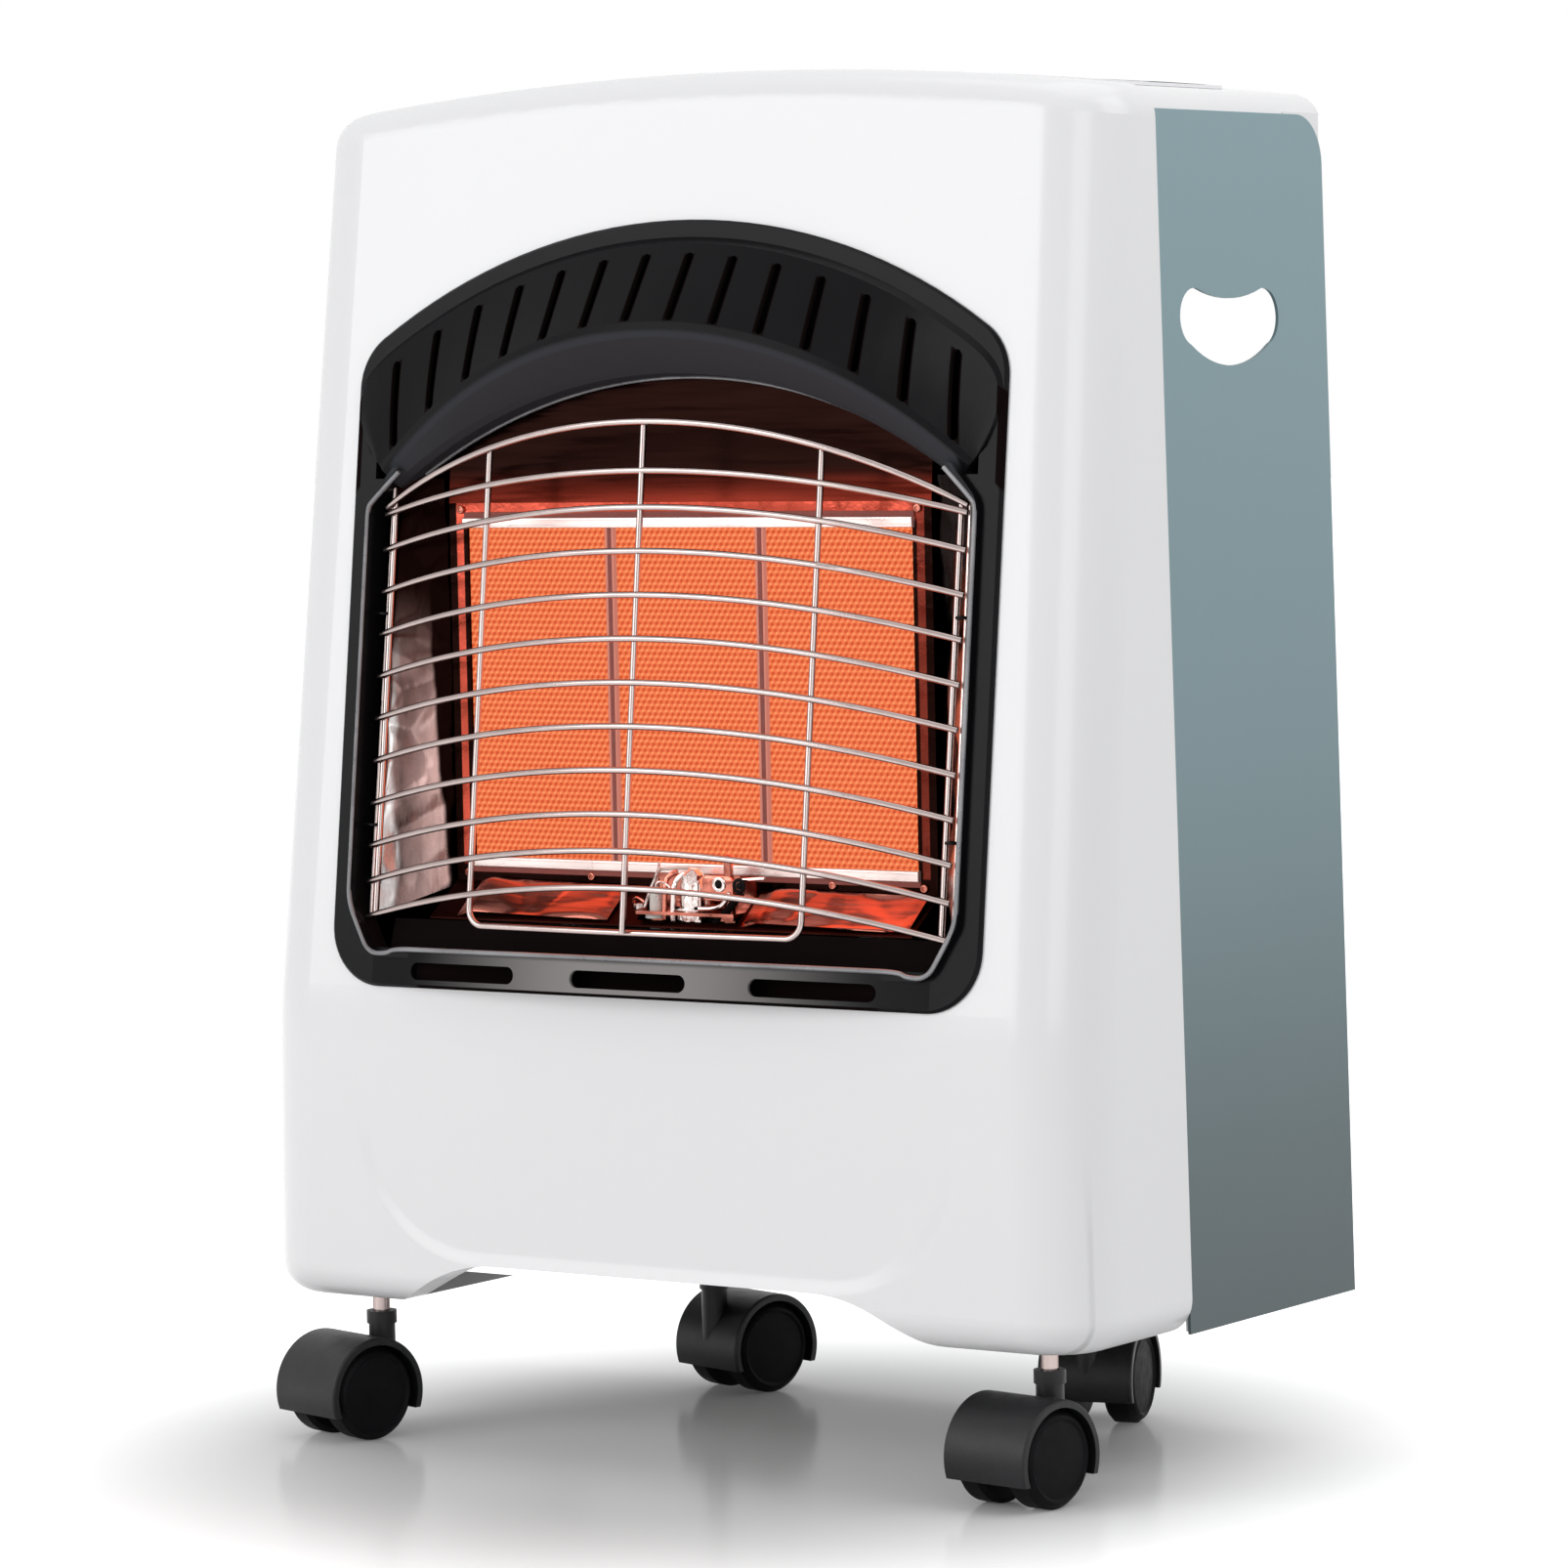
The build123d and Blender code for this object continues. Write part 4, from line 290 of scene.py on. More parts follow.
def finish(name, colour, drift=0.04, rough=0.4, rough_drift=0.08, metal=0.0, grain=600.0,
           depth=0.00002, patch=9.0, stretch=(1, 1, 1)):
    """A material with a drifting colour and roughness and a fine bump."""
    material = bpy.data.materials.new(name)
    material.use_nodes = True
    tree = material.node_tree
    shader = tree.nodes["Principled BSDF"]
    shader.inputs["Metallic"].default_value = metal
    place = add_node(tree, "TexCoord")
    scale = add_node(tree, "Mapping", Scale=stretch)
    tree.links.new(place.outputs["Object"], scale.inputs["Vector"])
    vector = scale.outputs["Vector"]

    dark = [c * (1 - drift) for c in colour]
    light = [min(1.0, c * (1 + drift)) for c in colour]
    cloud = noise_node(tree, vector, patch, 5)
    tree.links.new(colour_range(tree, cloud, dark, light), shader.inputs["Base Color"])
    rub = noise_node(tree, vector, patch * 4, 6)
    roughness = range_node(tree, rub, NOISE_LOW, NOISE_HIGH, rough - rough_drift,
                           rough + rough_drift, smooth=False)
    tree.links.new(roughness, shader.inputs["Roughness"])
    bump = add_node(tree, "Bump", Distance=depth)
    tree.links.new(noise_node(tree, vector, grain, 2), bump.inputs["Height"])
    tree.links.new(bump.outputs["Normal"], shader.inputs["Normal"])
    return material, tree, shader, bump, place


def add_relief(tree, shader, bump, height, depth):
    """A second bump laid over the fine one."""
    relief = add_node(tree, "Bump", Distance=depth)
    tree.links.new(height, relief.inputs["Height"])
    tree.links.new(bump.outputs["Normal"], relief.inputs["Normal"])
    tree.links.new(relief.outputs["Normal"], shader.inputs["Normal"])


# %% [markdown]
# A finish goes onto a CAD node through its material slots. A plain finish needs only the
# recipe and a few values on its own sockets, so one call makes it and puts it on.

# %% Helpers for dressing nodes
def dress(material, *names):
    """Put a finish on every material slot of the named CAD nodes."""
    for name in names:
        for slot in nodes[name].material_slots:
            slot.material = material
    print(material.name, "on", len(names), "nodes")


def plain_finish(name, colour, names=(), sockets=None, **look):
    """A finish of the recipe alone, with plain values on its sockets, put on CAD nodes."""
    material, _, shader, *_ = finish(name, colour, **look)
    for socket, value in (sockets or {}).items():
        shader.inputs[socket].default_value = value
    dress(material, *names)
    return material


# %% [markdown]
# Many finishes change from place to place, as with soot, a rubbed edge or a pressed panel.
# Each such zone is a mask between 0 and 1, made from measures of the shaded point. A zone is
# written as its limits. Each limit names a measure, where the mask is 0 and where it is 1.

# %% Helpers for zones
def point_of(tree, place):
    """The shaded point's x, y and z, and side, its distance from the heater's middle."""
    split = add_node(tree, "SeparateXYZ")
    tree.links.new(place.outputs["Object"], split.inputs[0])
    point = {"x": split.outputs["X"], "y": split.outputs["Y"], "z": split.outputs["Z"]}
    point["side"] = math_node(tree, "ABSOLUTE", point["x"])
    return point


def zone(tree, point, *limits):
    """A mask that is 1 within all its limits: (measure, where it is 0, where it is 1)."""
    return chain(tree, "MULTIPLY", [range_node(tree, point[measure], empty, full)
                                    for measure, empty, full in limits])


def paint_where(tree, shader, mask, colour, mask_is=1, socket="Base Color"):
    """Lay a colour over a finish's own, where a mask is 1 or where it is 0."""
    blend = add_node(tree, "Mix")
    blend.data_type = "RGBA"
    new, old = (7, 6) if mask_is else (6, 7)
    blend.inputs[new].default_value = (*colour, 1)
    tree.links.new(mask, blend.inputs[0])
    tree.links.new(shader.inputs[socket].links[0].from_socket, blend.inputs[old])
    tree.links.new(blend.outputs[2], shader.inputs[socket])


def rounded_reach(tree, u, v, half_u, half_v, corner):
    """How far a point lies from the straight core of a rounded box."""
    terms = []
    for value, half in ((u, half_u), (v, half_v)):
        away = math_node(tree, "SUBTRACT", math_node(tree, "ABSOLUTE", value), half - corner)
        away = math_node(tree, "MAXIMUM", away, 0.0)
        terms.append(math_node(tree, "MULTIPLY", away, away))
    return math_node(tree, "SQRT", chain(tree, "ADD", terms))


# %% [markdown]
# The front shell and the top are pressed steel in glossy white enamel. Sprayed enamel levels
# into very faint ripples, called orange peel, so its bump is wide and shallow. A large, very
# shallow panel with rounded lower corners is pressed into the lower front. Its edge is a
# distance field: how far a point lies outside a rounded box, smoothed into a step.

# %% White enamel
ENAMEL_WHITE = (0.86, 0.86, 0.875)
PRESS_HALF = 163.0 * MM
PRESS_LOW = 93.0 * MM
PRESS_TOP = 260.0 * MM
PRESS_CORNER = 65.0 * MM
PRESS_STEP = 5.0 * MM
PRESS_DEPTH = 1.8 * MM
PRESS_FRONT = ("y", -100 * MM, -104 * MM)
PRESS_FADE = ("z", 175 * MM, 120 * MM)

white, tree, shader, peel, place = finish(
    "white_enamel", ENAMEL_WHITE, drift=0.003, rough=0.24, rough_drift=0.004, grain=260.0,
    patch=5.0)
shader.inputs["Coat Weight"].default_value = 0.2
shader.inputs["Coat Roughness"].default_value = 0.1
point = point_of(tree, place)
above_middle = math_node(tree, "SUBTRACT", point["z"], (PRESS_TOP + PRESS_LOW) / 2)
point["reach"] = rounded_reach(tree, point["x"], above_middle, PRESS_HALF,
                               (PRESS_TOP - PRESS_LOW) / 2, PRESS_CORNER)
press = zone(tree, point, ("reach", PRESS_CORNER - PRESS_STEP, PRESS_CORNER + PRESS_STEP),
             PRESS_FRONT, PRESS_FADE)
add_relief(tree, shader, peel, press, PRESS_DEPTH)
dress(white, "front_shell", "top_cover")

# %% [markdown]
# The side panels and the rear cover have a satin grey-green enamel, sprayed drier than the
# white, so its grain is finer and its shine more spread. Its colour carries painted light and
# shade: it is lighter near the top and darker towards the floor, as two ranges of height with
# their levels say.

# %% Grey-green enamel
GREEN_LIGHT_FROM_ABOVE = (0.05, 0.62, 0.72, 1.18)
GREEN_SHADE_AT_FOOT = (0.03, 0.36, 0.36, 1.0)

green, tree, shader, peel, place = finish(
    "grey_green_enamel", (0.200, 0.300, 0.330), drift=0.012, rough=0.42, rough_drift=0.01,
    grain=700.0, depth=0.00004, patch=4.0)
height = point_of(tree, place)["z"]
# Painted light and shade: the colour is scaled up high on the panels and down near the floor.
height_light_and_shade = math_node(tree, "MULTIPLY", range_node(tree, height, *GREEN_LIGHT_FROM_ABOVE, smooth=False),
                  range_node(tree, height, *GREEN_SHADE_AT_FOOT))
painted_shade_colour = add_node(tree, "VectorMath")
painted_shade_colour.operation = "SCALE"
tree.links.new(shader.inputs["Base Color"].links[0].from_socket, painted_shade_colour.inputs[0])
tree.links.new(height_light_and_shade, painted_shade_colour.inputs["Scale"])
tree.links.new(painted_shade_colour.outputs["Vector"], shader.inputs["Base Color"])
dress(green, "left_side_panel", "right_side_panel", "rear_cover")

# %% [markdown]
# The bezel is one moulding in black resin, on a face that leans back. Its painted highlight and
# painted shade follow its shape, so a point on it needs four more measures: how far it stands
# out from the leaning face, how far it is sunk below the bowed lower rail, how far it is from
# the middle between two of the hood's slots, and its radius from the centre of the hood's arch.

# %% Measures on the bezel
BEND_Z = 203 * MM
LEAN = math.radians(6.87)
BEND_BACK = 15.958 * MM
BEAD_RISE = 5.6 * MM
RAIL_BOW = 15.0 * MM
RAIL_CURVE = 960.7 * MM
HOOD_CENTRE = 67.64 * MM
HOOD_SLOT_PITCH = 23.86 * MM
bend_y = cad_box[0][1] + BEND_BACK


def bezel_point(tree, place):
    """A point's measures, with those that follow the bezel's shape."""
    point = point_of(tree, place)
    x, y, z = point["x"], point["y"], point["z"]
    outward = math_node(tree, "SUBTRACT", math_node(tree, "MULTIPLY", z, math.tan(LEAN)), y)
    outward = math_node(tree, "ADD", outward, bend_y - BEND_Z * math.tan(LEAN))
    square = math_node(tree, "MULTIPLY", x, x)
    bow = math_node(tree, "SUBTRACT", RAIL_BOW,
                    math_node(tree, "DIVIDE", square, 2 * RAIL_CURVE))
    bow = math_node(tree, "MAXIMUM", bow, BEAD_RISE)
    between = math_node(tree, "FRACT", math_node(tree, "DIVIDE", x, HOOD_SLOT_PITCH))
    off_slot = math_node(tree, "ABSOLUTE", math_node(tree, "SUBTRACT", between, 0.5))
    slope = math_node(tree, "ADD", math_node(tree, "MULTIPLY", y, math.sin(LEAN)),
                      math_node(tree, "MULTIPLY", z, math.cos(LEAN)))
    slope = math_node(tree, "SUBTRACT", slope, bend_y * math.sin(LEAN)
                      + BEND_Z * math.cos(LEAN) + HOOD_CENTRE)
    slope = math_node(tree, "MULTIPLY", slope, slope)
    point.update(outward=outward, sunk=math_node(tree, "SUBTRACT", bow, outward),
                 off_slot=math_node(tree, "MULTIPLY", off_slot, HOOD_SLOT_PITCH),
                 radius=math_node(tree, "SQRT", math_node(tree, "ADD", square, slope)))
    return point


print("the face bends at", round(bend_y, 4), BEND_Z)

# %% [markdown]
# The middle of the lower rail gets a painted highlight. The slots in the rail and in the hood
# and the inside of the opening get painted shade in matt black, and the hood's inner lip is
# painted a lighter grey for the light it catches. The lip is matt as well, so it is in the mask
# for roughness, but not in the one for painted shade.

# %% Bezel resin
RESIN_SHINE = 0.08
RAIL_PAINTED_HIGHLIGHT = (0.26, 0.245, 0.24)
LIP_PAINTED_LIGHT = (0.045, 0.047, 0.054)
SLOT_PAINTED_SHADE = (0.004, 0.0015, 0.0015)
OPENING_SHADE_LEVEL = 0.9
HOOD_RIDGE = 248.0 * MM
HOOD_SLOT_HALF = 2.7 * MM
HOOD_SLOT_INNER = 251.5 * MM
HOOD_SLOT_OUTER = 284.0 * MM
HOOD_HEIGHT = ("z", 0.40, 0.41)
RAIL_HIGHLIGHT_ZONE = (("side", 0.135, 0.020), ("z", 0.2365, 0.2335), ("y", -0.121, -0.124))
RAIL_SLOT_ZONE = (("sunk", 1.0 * MM, 2.0 * MM), ("z", 0.209, 0.211), ("z", 0.2325, 0.2315),
                  ("side", 0.130, 0.126))
OPENING_ZONE = (("outward", 2.0 * MM, -1.0 * MM), ("z", 0.285, 0.255))
HOOD_SLOT_ZONE = (("radius", HOOD_SLOT_INNER - 1.0 * MM, HOOD_SLOT_INNER + 0.5 * MM),
                  ("radius", HOOD_SLOT_OUTER + 0.5 * MM, HOOD_SLOT_OUTER - 1.0 * MM),
                  ("off_slot", HOOD_SLOT_HALF + 0.5 * MM, HOOD_SLOT_HALF), HOOD_HEIGHT)
LIP_ZONE = (("radius", HOOD_RIDGE + 1 * MM, HOOD_RIDGE - 3 * MM), ("side", 0.160, 0.154),
            HOOD_HEIGHT)

resin, tree, shader, peel, place = finish(
    "black_resin", (0.0055, 0.0055, 0.0065), drift=0.12, rough=0.24, rough_drift=0.015,
    grain=1500.0, depth=0.00003, patch=14.0)
point = bezel_point(tree, place)
lip_mask = zone(tree, point, *LIP_ZONE)
opening = math_node(tree, "MULTIPLY", zone(tree, point, *OPENING_ZONE), OPENING_SHADE_LEVEL)
dull_and_shaded = chain(tree, "MAXIMUM", [zone(tree, point, *RAIL_SLOT_ZONE), opening,
                               zone(tree, point, *HOOD_SLOT_ZONE), lip_mask])
# Painted highlight on the rail, painted light on the lip, and painted shade in the slots and the
# opening.
paint_where(tree, shader, zone(tree, point, *RAIL_HIGHLIGHT_ZONE), RAIL_PAINTED_HIGHLIGHT)
paint_where(tree, shader, range_node(tree, lip_mask, 0.0, 1.0), LIP_PAINTED_LIGHT)
paint_where(tree, shader, math_node(tree, "SUBTRACT", dull_and_shaded, lip_mask), SLOT_PAINTED_SHADE)
roughness = math_node(tree, "MAXIMUM", shader.inputs["Roughness"].links[0].from_socket, dull_and_shaded)
tree.links.new(roughness, shader.inputs["Roughness"])
shader.inputs["Specular IOR Level"].default_value = RESIN_SHINE
dress(resin, "bezel")

# %% [markdown]
# The casters are nylon, a little rougher and scuffed from rolling. The wheels reflect less
# than the hoods, because their treads are matt. The knob and the igniter's body have the
# black of the control well.

# %% Casters and knob
PANEL_BLACK = (0.02, 0.02, 0.022)
plain_finish(
    "caster_nylon", (0.007, 0.007, 0.0085),
    [name for name in nodes if name.endswith("_caster_hood")], {"Specular IOR Level": 0.36},
    drift=0.2, rough=0.42, rough_drift=0.05, grain=1300.0, depth=0.00008, patch=40.0)
plain_finish(
    "wheel_nylon", (0.006, 0.006, 0.007), [name for name in nodes if "_wheel_" in name],
    {"Specular IOR Level": 0.07}, drift=0.2, rough=0.5, rough_drift=0.06, grain=1000.0,
    depth=0.00008, patch=60.0)
plain_finish(
    "panel_black", PANEL_BLACK, ("control_knob", "igniter_body"), drift=0.12, rough=0.5,
    rough_drift=0.05, grain=1600.0, depth=0.00006, patch=20.0)

# %% [markdown]
# The control well is one moulding in two colours: black inside, with a rim that is enamelled
# white like the top. The rim is what lies outside a rounded box, or high enough.

# %% Control well
RIM_WIDTH = 7.0 * MM
RIM_CORNER = 12.0 * MM
RIM_DROP = 6.0 * MM
two_tone, tree, shader, peel, place = finish(
    "panel_two_tone", PANEL_BLACK, drift=0.12, rough=0.45, rough_drift=0.04, grain=1600.0,
    depth=0.00005, patch=20.0)
point = point_of(tree, place)
well_low, well_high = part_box("control_panel")
well_centre = (well_low + well_high) / 2
well_half = (well_high - well_low) / 2 - Vector((RIM_WIDTH, RIM_WIDTH, 0))
point["reach"] = rounded_reach(tree, math_node(tree, "SUBTRACT", point["x"], well_centre.x),
                               math_node(tree, "SUBTRACT", point["y"], well_centre.y),
                               well_half.x, well_half.y, RIM_CORNER)
rim_high = well_high.z - RIM_DROP
rim_paint = chain(tree, "MAXIMUM", [
    zone(tree, point, ("reach", RIM_CORNER + 0.2 * MM, RIM_CORNER + 0.4 * MM)),
    zone(tree, point, ("z", rim_high, rim_high + 0.4 * MM))])
tree.links.new(colour_range(tree, rim_paint, PANEL_BLACK, ENAMEL_WHITE, 0.0, 1.0),
               shader.inputs["Base Color"])
dress(two_tone, "control_panel")

# %% [markdown]
# The guard is welded from bright nickel-plated wire, and stems and axles are plated steel. The
# hidden sheets are zinc-plated. The heat shield is black on the side that faces the burner,
# partly smoke and partly painted shade, so nothing pale shows through the hood's slots.

# %% Plated steel
SMOKE_AND_SHADE = (0.004, 0.003, 0.003)
SHADED_SIDE = ("face_y", -0.5, -0.8)
ZINC_LOOK = dict(colour=(0.50, 0.50, 0.495), drift=0.07, rough=0.42, rough_drift=0.05,
                 metal=0.9, grain=500.0, depth=0.00004, patch=45.0)

axles = [name for name in nodes if name.endswith("_caster_axle")]
plated = plain_finish(
    "plated_steel", (0.43, 0.355, 0.34), ["wire_guard", "caster_stems", "valve_spindle", *axles],
    {"Specular Tint": (0.3, 0.24, 0.24, 1)}, drift=0.08, rough=0.17, rough_drift=0.04,
    metal=1.0, grain=900.0, patch=60.0)
plain_finish("zinc_sheet", names=(
    "base_plate", "panel_screws", "caster_sockets", "mixer_tubes", "gas_manifold"), **ZINC_LOOK)
smoked_and_shaded, tree, shader, peel, place = finish("smoked_shaded_zinc", **ZINC_LOOK)
lie = add_node(tree, "SeparateXYZ")
tree.links.new(place.outputs["Normal"], lie.inputs[0])
# Painted shade together with smoke: the side that faces the burner is made near black.
paint_where(tree, shader, zone(tree, {"face_y": lie.outputs["Y"]}, SHADED_SIDE), SMOKE_AND_SHADE)
shader.inputs["Specular IOR Level"].default_value = 0.1
dress(smoked_and_shaded, "heat_shield")

# %% [markdown]
# Inside the opening, thin sheets have turned brown and red from the heat. The upper one gets
# painted shade above the plaques, almost black, so its red shows only near them. Its colour runs
# in streaks across the sheet, so its pattern is stretched. The plaque frame has painted red
# light from the glow beside and above the plaques, dimmer on the right, and painted shade
# elsewhere, so its colour is chosen by the place on the sheet.

# %% Heat-stained sheet
PAINTED_SHADE = (0.006, 0.002, 0.0015)
SHADE_ABOVE = ("z", plaque_high.z + 9 * MM, plaque_high.z + 27 * MM)
FRAME_LIT_HALF = 129.8 * MM
FRAME_GAP_HALF = 126.2 * MM
FRAME_LIT_ZONE = (("side", FRAME_LIT_HALF + 0.4 * MM, FRAME_LIT_HALF),
                  ("z", plaque_low.z - 2.5 * MM, plaque_low.z - 1.5 * MM))
FRAME_BESIDE = ("side", FRAME_GAP_HALF - 0.4 * MM, FRAME_GAP_HALF)
FRAME_ABOVE = ("z", plaque_high.z + 1 * MM, plaque_high.z + 2 * MM)
FRAME_RIGHT_DIM = (0.119, 0.125, 1.0, 0.3)

stained, tree, shader, peel, place = finish(
    "stained_sheet", (0.075, 0.009, 0.005), drift=0.95, rough=0.26, rough_drift=0.06, metal=0.9,
    grain=60.0, depth=0.0010, patch=34.0, stretch=(0.16, 1, 1.9))
shader.inputs["Specular Tint"].default_value = (0.12, 0.03, 0.02, 1)
# Painted shade above the plaques, where their glow doesn't reach.
paint_where(tree, shader, zone(tree, point_of(tree, place), SHADE_ABOVE), PAINTED_SHADE)
dress(stained, "reflector_top")
plain_finish(
    "sooty_floor", (0.030, 0.008, 0.006), ["reflector_bottom"],
    {"Specular Tint": (0.25, 0.06, 0.05, 1)}, drift=0.8, rough=0.3, rough_drift=0.06,
    metal=0.9, grain=80.0, depth=0.0006, patch=30.0, stretch=(0.3, 1, 1))
frame_steel, tree, shader, peel, place = finish(
    "frame_steel", (0.46, 0.070, 0.042), drift=0.25, rough=0.2, rough_drift=0.05, metal=0.85,
    grain=200.0, depth=0.0002, patch=25.0)
shader.inputs["Specular Tint"].default_value = (0.5, 0.12, 0.08, 1)
point = point_of(tree, place)
lit_sides = math_node(tree, "MAXIMUM", zone(tree, point, FRAME_BESIDE),
                 zone(tree, point, FRAME_ABOVE))
lit = chain(tree, "MULTIPLY", [zone(tree, point, *FRAME_LIT_ZONE), lit_sides,
                               range_node(tree, point["x"], *FRAME_RIGHT_DIM)])
# Painted shade on the frame outside its painted red light.
paint_where(tree, shader, lit, PAINTED_SHADE, mask_is=0)
dress(frame_steel, "plaque_frame")

# %% [markdown]
# The strips that hold the plaques stayed bright. The pilot's bracket, the thermocouple and the
# screws have a rose tint from the heat, and the packing between the plaques glows a little,
# partly from its heat and partly as painted light. None of them needs more than the recipe.

# %% Small hot pieces
bright = plain_finish(
    "bright_strip", (0.90, 0.77, 0.73), drift=0.07, rough=0.32, metal=0.7, grain=120.0,
    depth=0.0002, patch=40.0)
rose = plain_finish(
    "rose_metal", (0.48, 0.16, 0.115), ("pilot_bracket", "thermocouple"), drift=0.35,
    rough=0.18, rough_drift=0.06, metal=1.0, grain=160.0, depth=0.0002, patch=60.0)
# Its emission is partly heat and partly painted light, since the plaques' lamp doesn't reach it.
maroon = plain_finish(
    "maroon_gasket", (0.09, 0.012, 0.009),
    sockets={"Emission Color": (1.0, 0.25, 0.18, 1), "Emission Strength": 0.12},
    drift=0.3, rough=0.6, rough_drift=0.1, grain=500.0, depth=0.0001, patch=70.0)

# %% [markdown]
# The three plaques are pierced ceramic, glowing orange. The holes are far too many to model,
# so a hexagonal grid of dots darkens and dents the glowing face. Two square grids, one
# shifted by half a step, make the hexagonal one. The same grid, moved a little, lights one
# side of each hole.

# %% Glowing ceramic
HOLE_PITCH = 3.2 * MM
GLOW = (0.86, 0.180, 0.062)
HOLE_GLOW = (0.62, 0.072, 0.018)
RIM_GLOW = (0.98, 0.31, 0.125)
HOLE_EDGE = (0.015, 0.17)
RIM_EDGE = (0.10, 0.0)
RIM_SHIFT = 0.24 * HOLE_PITCH
HOLE_DEPTH = 0.6 * MM
ROW_RATIO = math.sqrt(3)


def hole_grid(tree, x, z):
    """Squared distance, in pitches, from a point to the nearest hole."""
    squares = []
    for shift in (0.0, 0.5):
        u = math_node(tree, "ADD", math_node(tree, "DIVIDE", x, HOLE_PITCH), shift)
        v = math_node(tree, "ADD", math_node(tree, "DIVIDE", z, HOLE_PITCH * ROW_RATIO), shift)
        du = math_node(tree, "SUBTRACT", math_node(tree, "FRACT", u), 0.5)
        dv = math_node(tree, "SUBTRACT", math_node(tree, "FRACT", v), 0.5)
        dv = math_node(tree, "MULTIPLY", dv, ROW_RATIO)
        squares.append(math_node(tree, "ADD", math_node(tree, "MULTIPLY", du, du),
                                 math_node(tree, "MULTIPLY", dv, dv)))
    return math_node(tree, "MINIMUM", *squares)


ceramic, tree, shader, peel, place = finish(
    "glowing_ceramic", (0.10, 0.035, 0.02), drift=0.05, rough=0.85, rough_drift=0.05,
    grain=900.0, depth=0.00003, patch=10.0)
point = point_of(tree, place)
face = range_node(tree, hole_grid(tree, point["x"], point["z"]), *HOLE_EDGE)
tree.links.new(colour_range(tree, face, HOLE_GLOW, GLOW, 0.0, 1.0),
               shader.inputs["Emission Color"])
rim_grid = hole_grid(tree, math_node(tree, "ADD", point["x"], RIM_SHIFT),
                     math_node(tree, "SUBTRACT", point["z"], 2 * RIM_SHIFT))
paint_where(tree, shader, range_node(tree, rim_grid, *RIM_EDGE), RIM_GLOW,
            socket="Emission Color")
shader.inputs["Emission Strength"].default_value = 0.97
shader.inputs["Specular IOR Level"].default_value = 0.15
add_relief(tree, shader, peel, face, HOLE_DEPTH)
dress(ceramic, "ceramic_plaque_left", "ceramic_plaque_centre", "ceramic_plaque_right")

# %% [markdown]
# The gas train is brass, copper and cast iron, and the electrode's sleeve is white porcelain.
# These finishes need nothing beyond the recipe, so each is one call.

# %% Gas train
plain_finish(
    "turned_brass", (0.60, 0.42, 0.17), ("gas_jets", "gas_valve", "hose_nozzle", "spindle_bush"),
    drift=0.15, rough=0.32, rough_drift=0.1, metal=1.0, grain=800.0, depth=0.00003, patch=50.0)
plain_finish(
    "drawn_copper", (0.60, 0.29, 0.18), ("gas_pipe", "pilot_tube", "thermocouple_lead"),
    drift=0.1, rough=0.3, rough_drift=0.05, metal=1.0, grain=700.0, depth=0.00003, patch=40.0)
hot_metal = plain_finish(
    "pilot_metal", (0.74, 0.64, 0.61), ["pilot_burner"], drift=0.12, rough=0.14,
    rough_drift=0.05, metal=1.0, grain=300.0, depth=0.0001, patch=80.0)
plain_finish(
    "burner_iron", (0.16, 0.15, 0.15),
    ("burner_housing_left", "burner_housing_centre", "burner_housing_right"), drift=0.25,
    rough=0.6, rough_drift=0.1, metal=0.8, grain=400.0, depth=0.0002, patch=30.0)
porcelain = plain_finish(
    "porcelain", (0.78, 0.75, 0.70), ["spark_electrode"], drift=0.06, rough=0.3,
    grain=500.0, patch=60.0)
plain_finish(
    "lead_sleeve", (0.35, 0.03, 0.02), ["ignition_lead"], drift=0.15, rough=0.5,
    rough_drift=0.1, grain=900.0, depth=0.00004, patch=50.0)
plain_finish(
    "button_red", (0.42, 0.02, 0.015), ["igniter_button"], drift=0.08, rough=0.3,
    rough_drift=0.06, grain=900.0, depth=0.00003, patch=60.0)
print_white = plain_finish(
    "dial_white", (0.75, 0.75, 0.74), drift=0.05, rough=0.5, grain=900.0, patch=80.0)

# %% [markdown]
# New pieces are shaped as by hand: a primitive is added, faces or edges are picked by their
# place or normal, and edit-mode tools inset, extrude or bevel them. These helpers keep those
# steps short. Operators act on all that is selected, so every piece is selected alone.

# %% A workbench for new pieces
SMOOTH_ANGLE = math.radians(35)
FRONT_TURN = (math.radians(90), 0, 0)


def select_only(*pieces):
    """Leave edit mode and select just these pieces. The first one becomes active."""
    if bpy.context.object and bpy.context.object.mode != "OBJECT":
        bpy.ops.object.mode_set(mode="OBJECT")
    bpy.ops.object.select_all(action="DESELECT")
    for piece in pieces:
        piece.select_set(True)
    if pieces:
        bpy.context.view_layer.objects.active = pieces[0]


def start(kind, name, location=(0, 0, 0), rotation=(0, 0, 0), scale=(1, 1, 1), **options):
    """Add one primitive, with its place put into its mesh."""
    select_only()
    getattr(bpy.ops.mesh, "primitive_" + kind + "_add")(location=location, rotation=rotation,
                                                        **options)
    piece = bpy.context.object
    piece.name = name
    piece.scale = scale
    bpy.ops.object.transform_apply(location=True, rotation=True, scale=True)
    return piece


def bar_piece(name, low, high):
    """A bar between two corners."""
    low, high = Vector(low), Vector(high)
    return start("cube", name, (low + high) / 2, scale=high - low, size=1)


def pick(piece, kind, test):
    """Enter edit mode and select the faces or edges that pass a test."""
    bpy.ops.object.mode_set(mode="EDIT")
    bpy.ops.mesh.select_mode(type="FACE" if kind == "faces" else "EDGE")
    bpy.ops.mesh.select_all(action="DESELECT")
    mesh = bmesh.from_edit_mesh(piece.data)
    for part in getattr(mesh, kind):
        if test(part):
            part.select_set(True)
    bmesh.update_edit_mesh(piece.data)


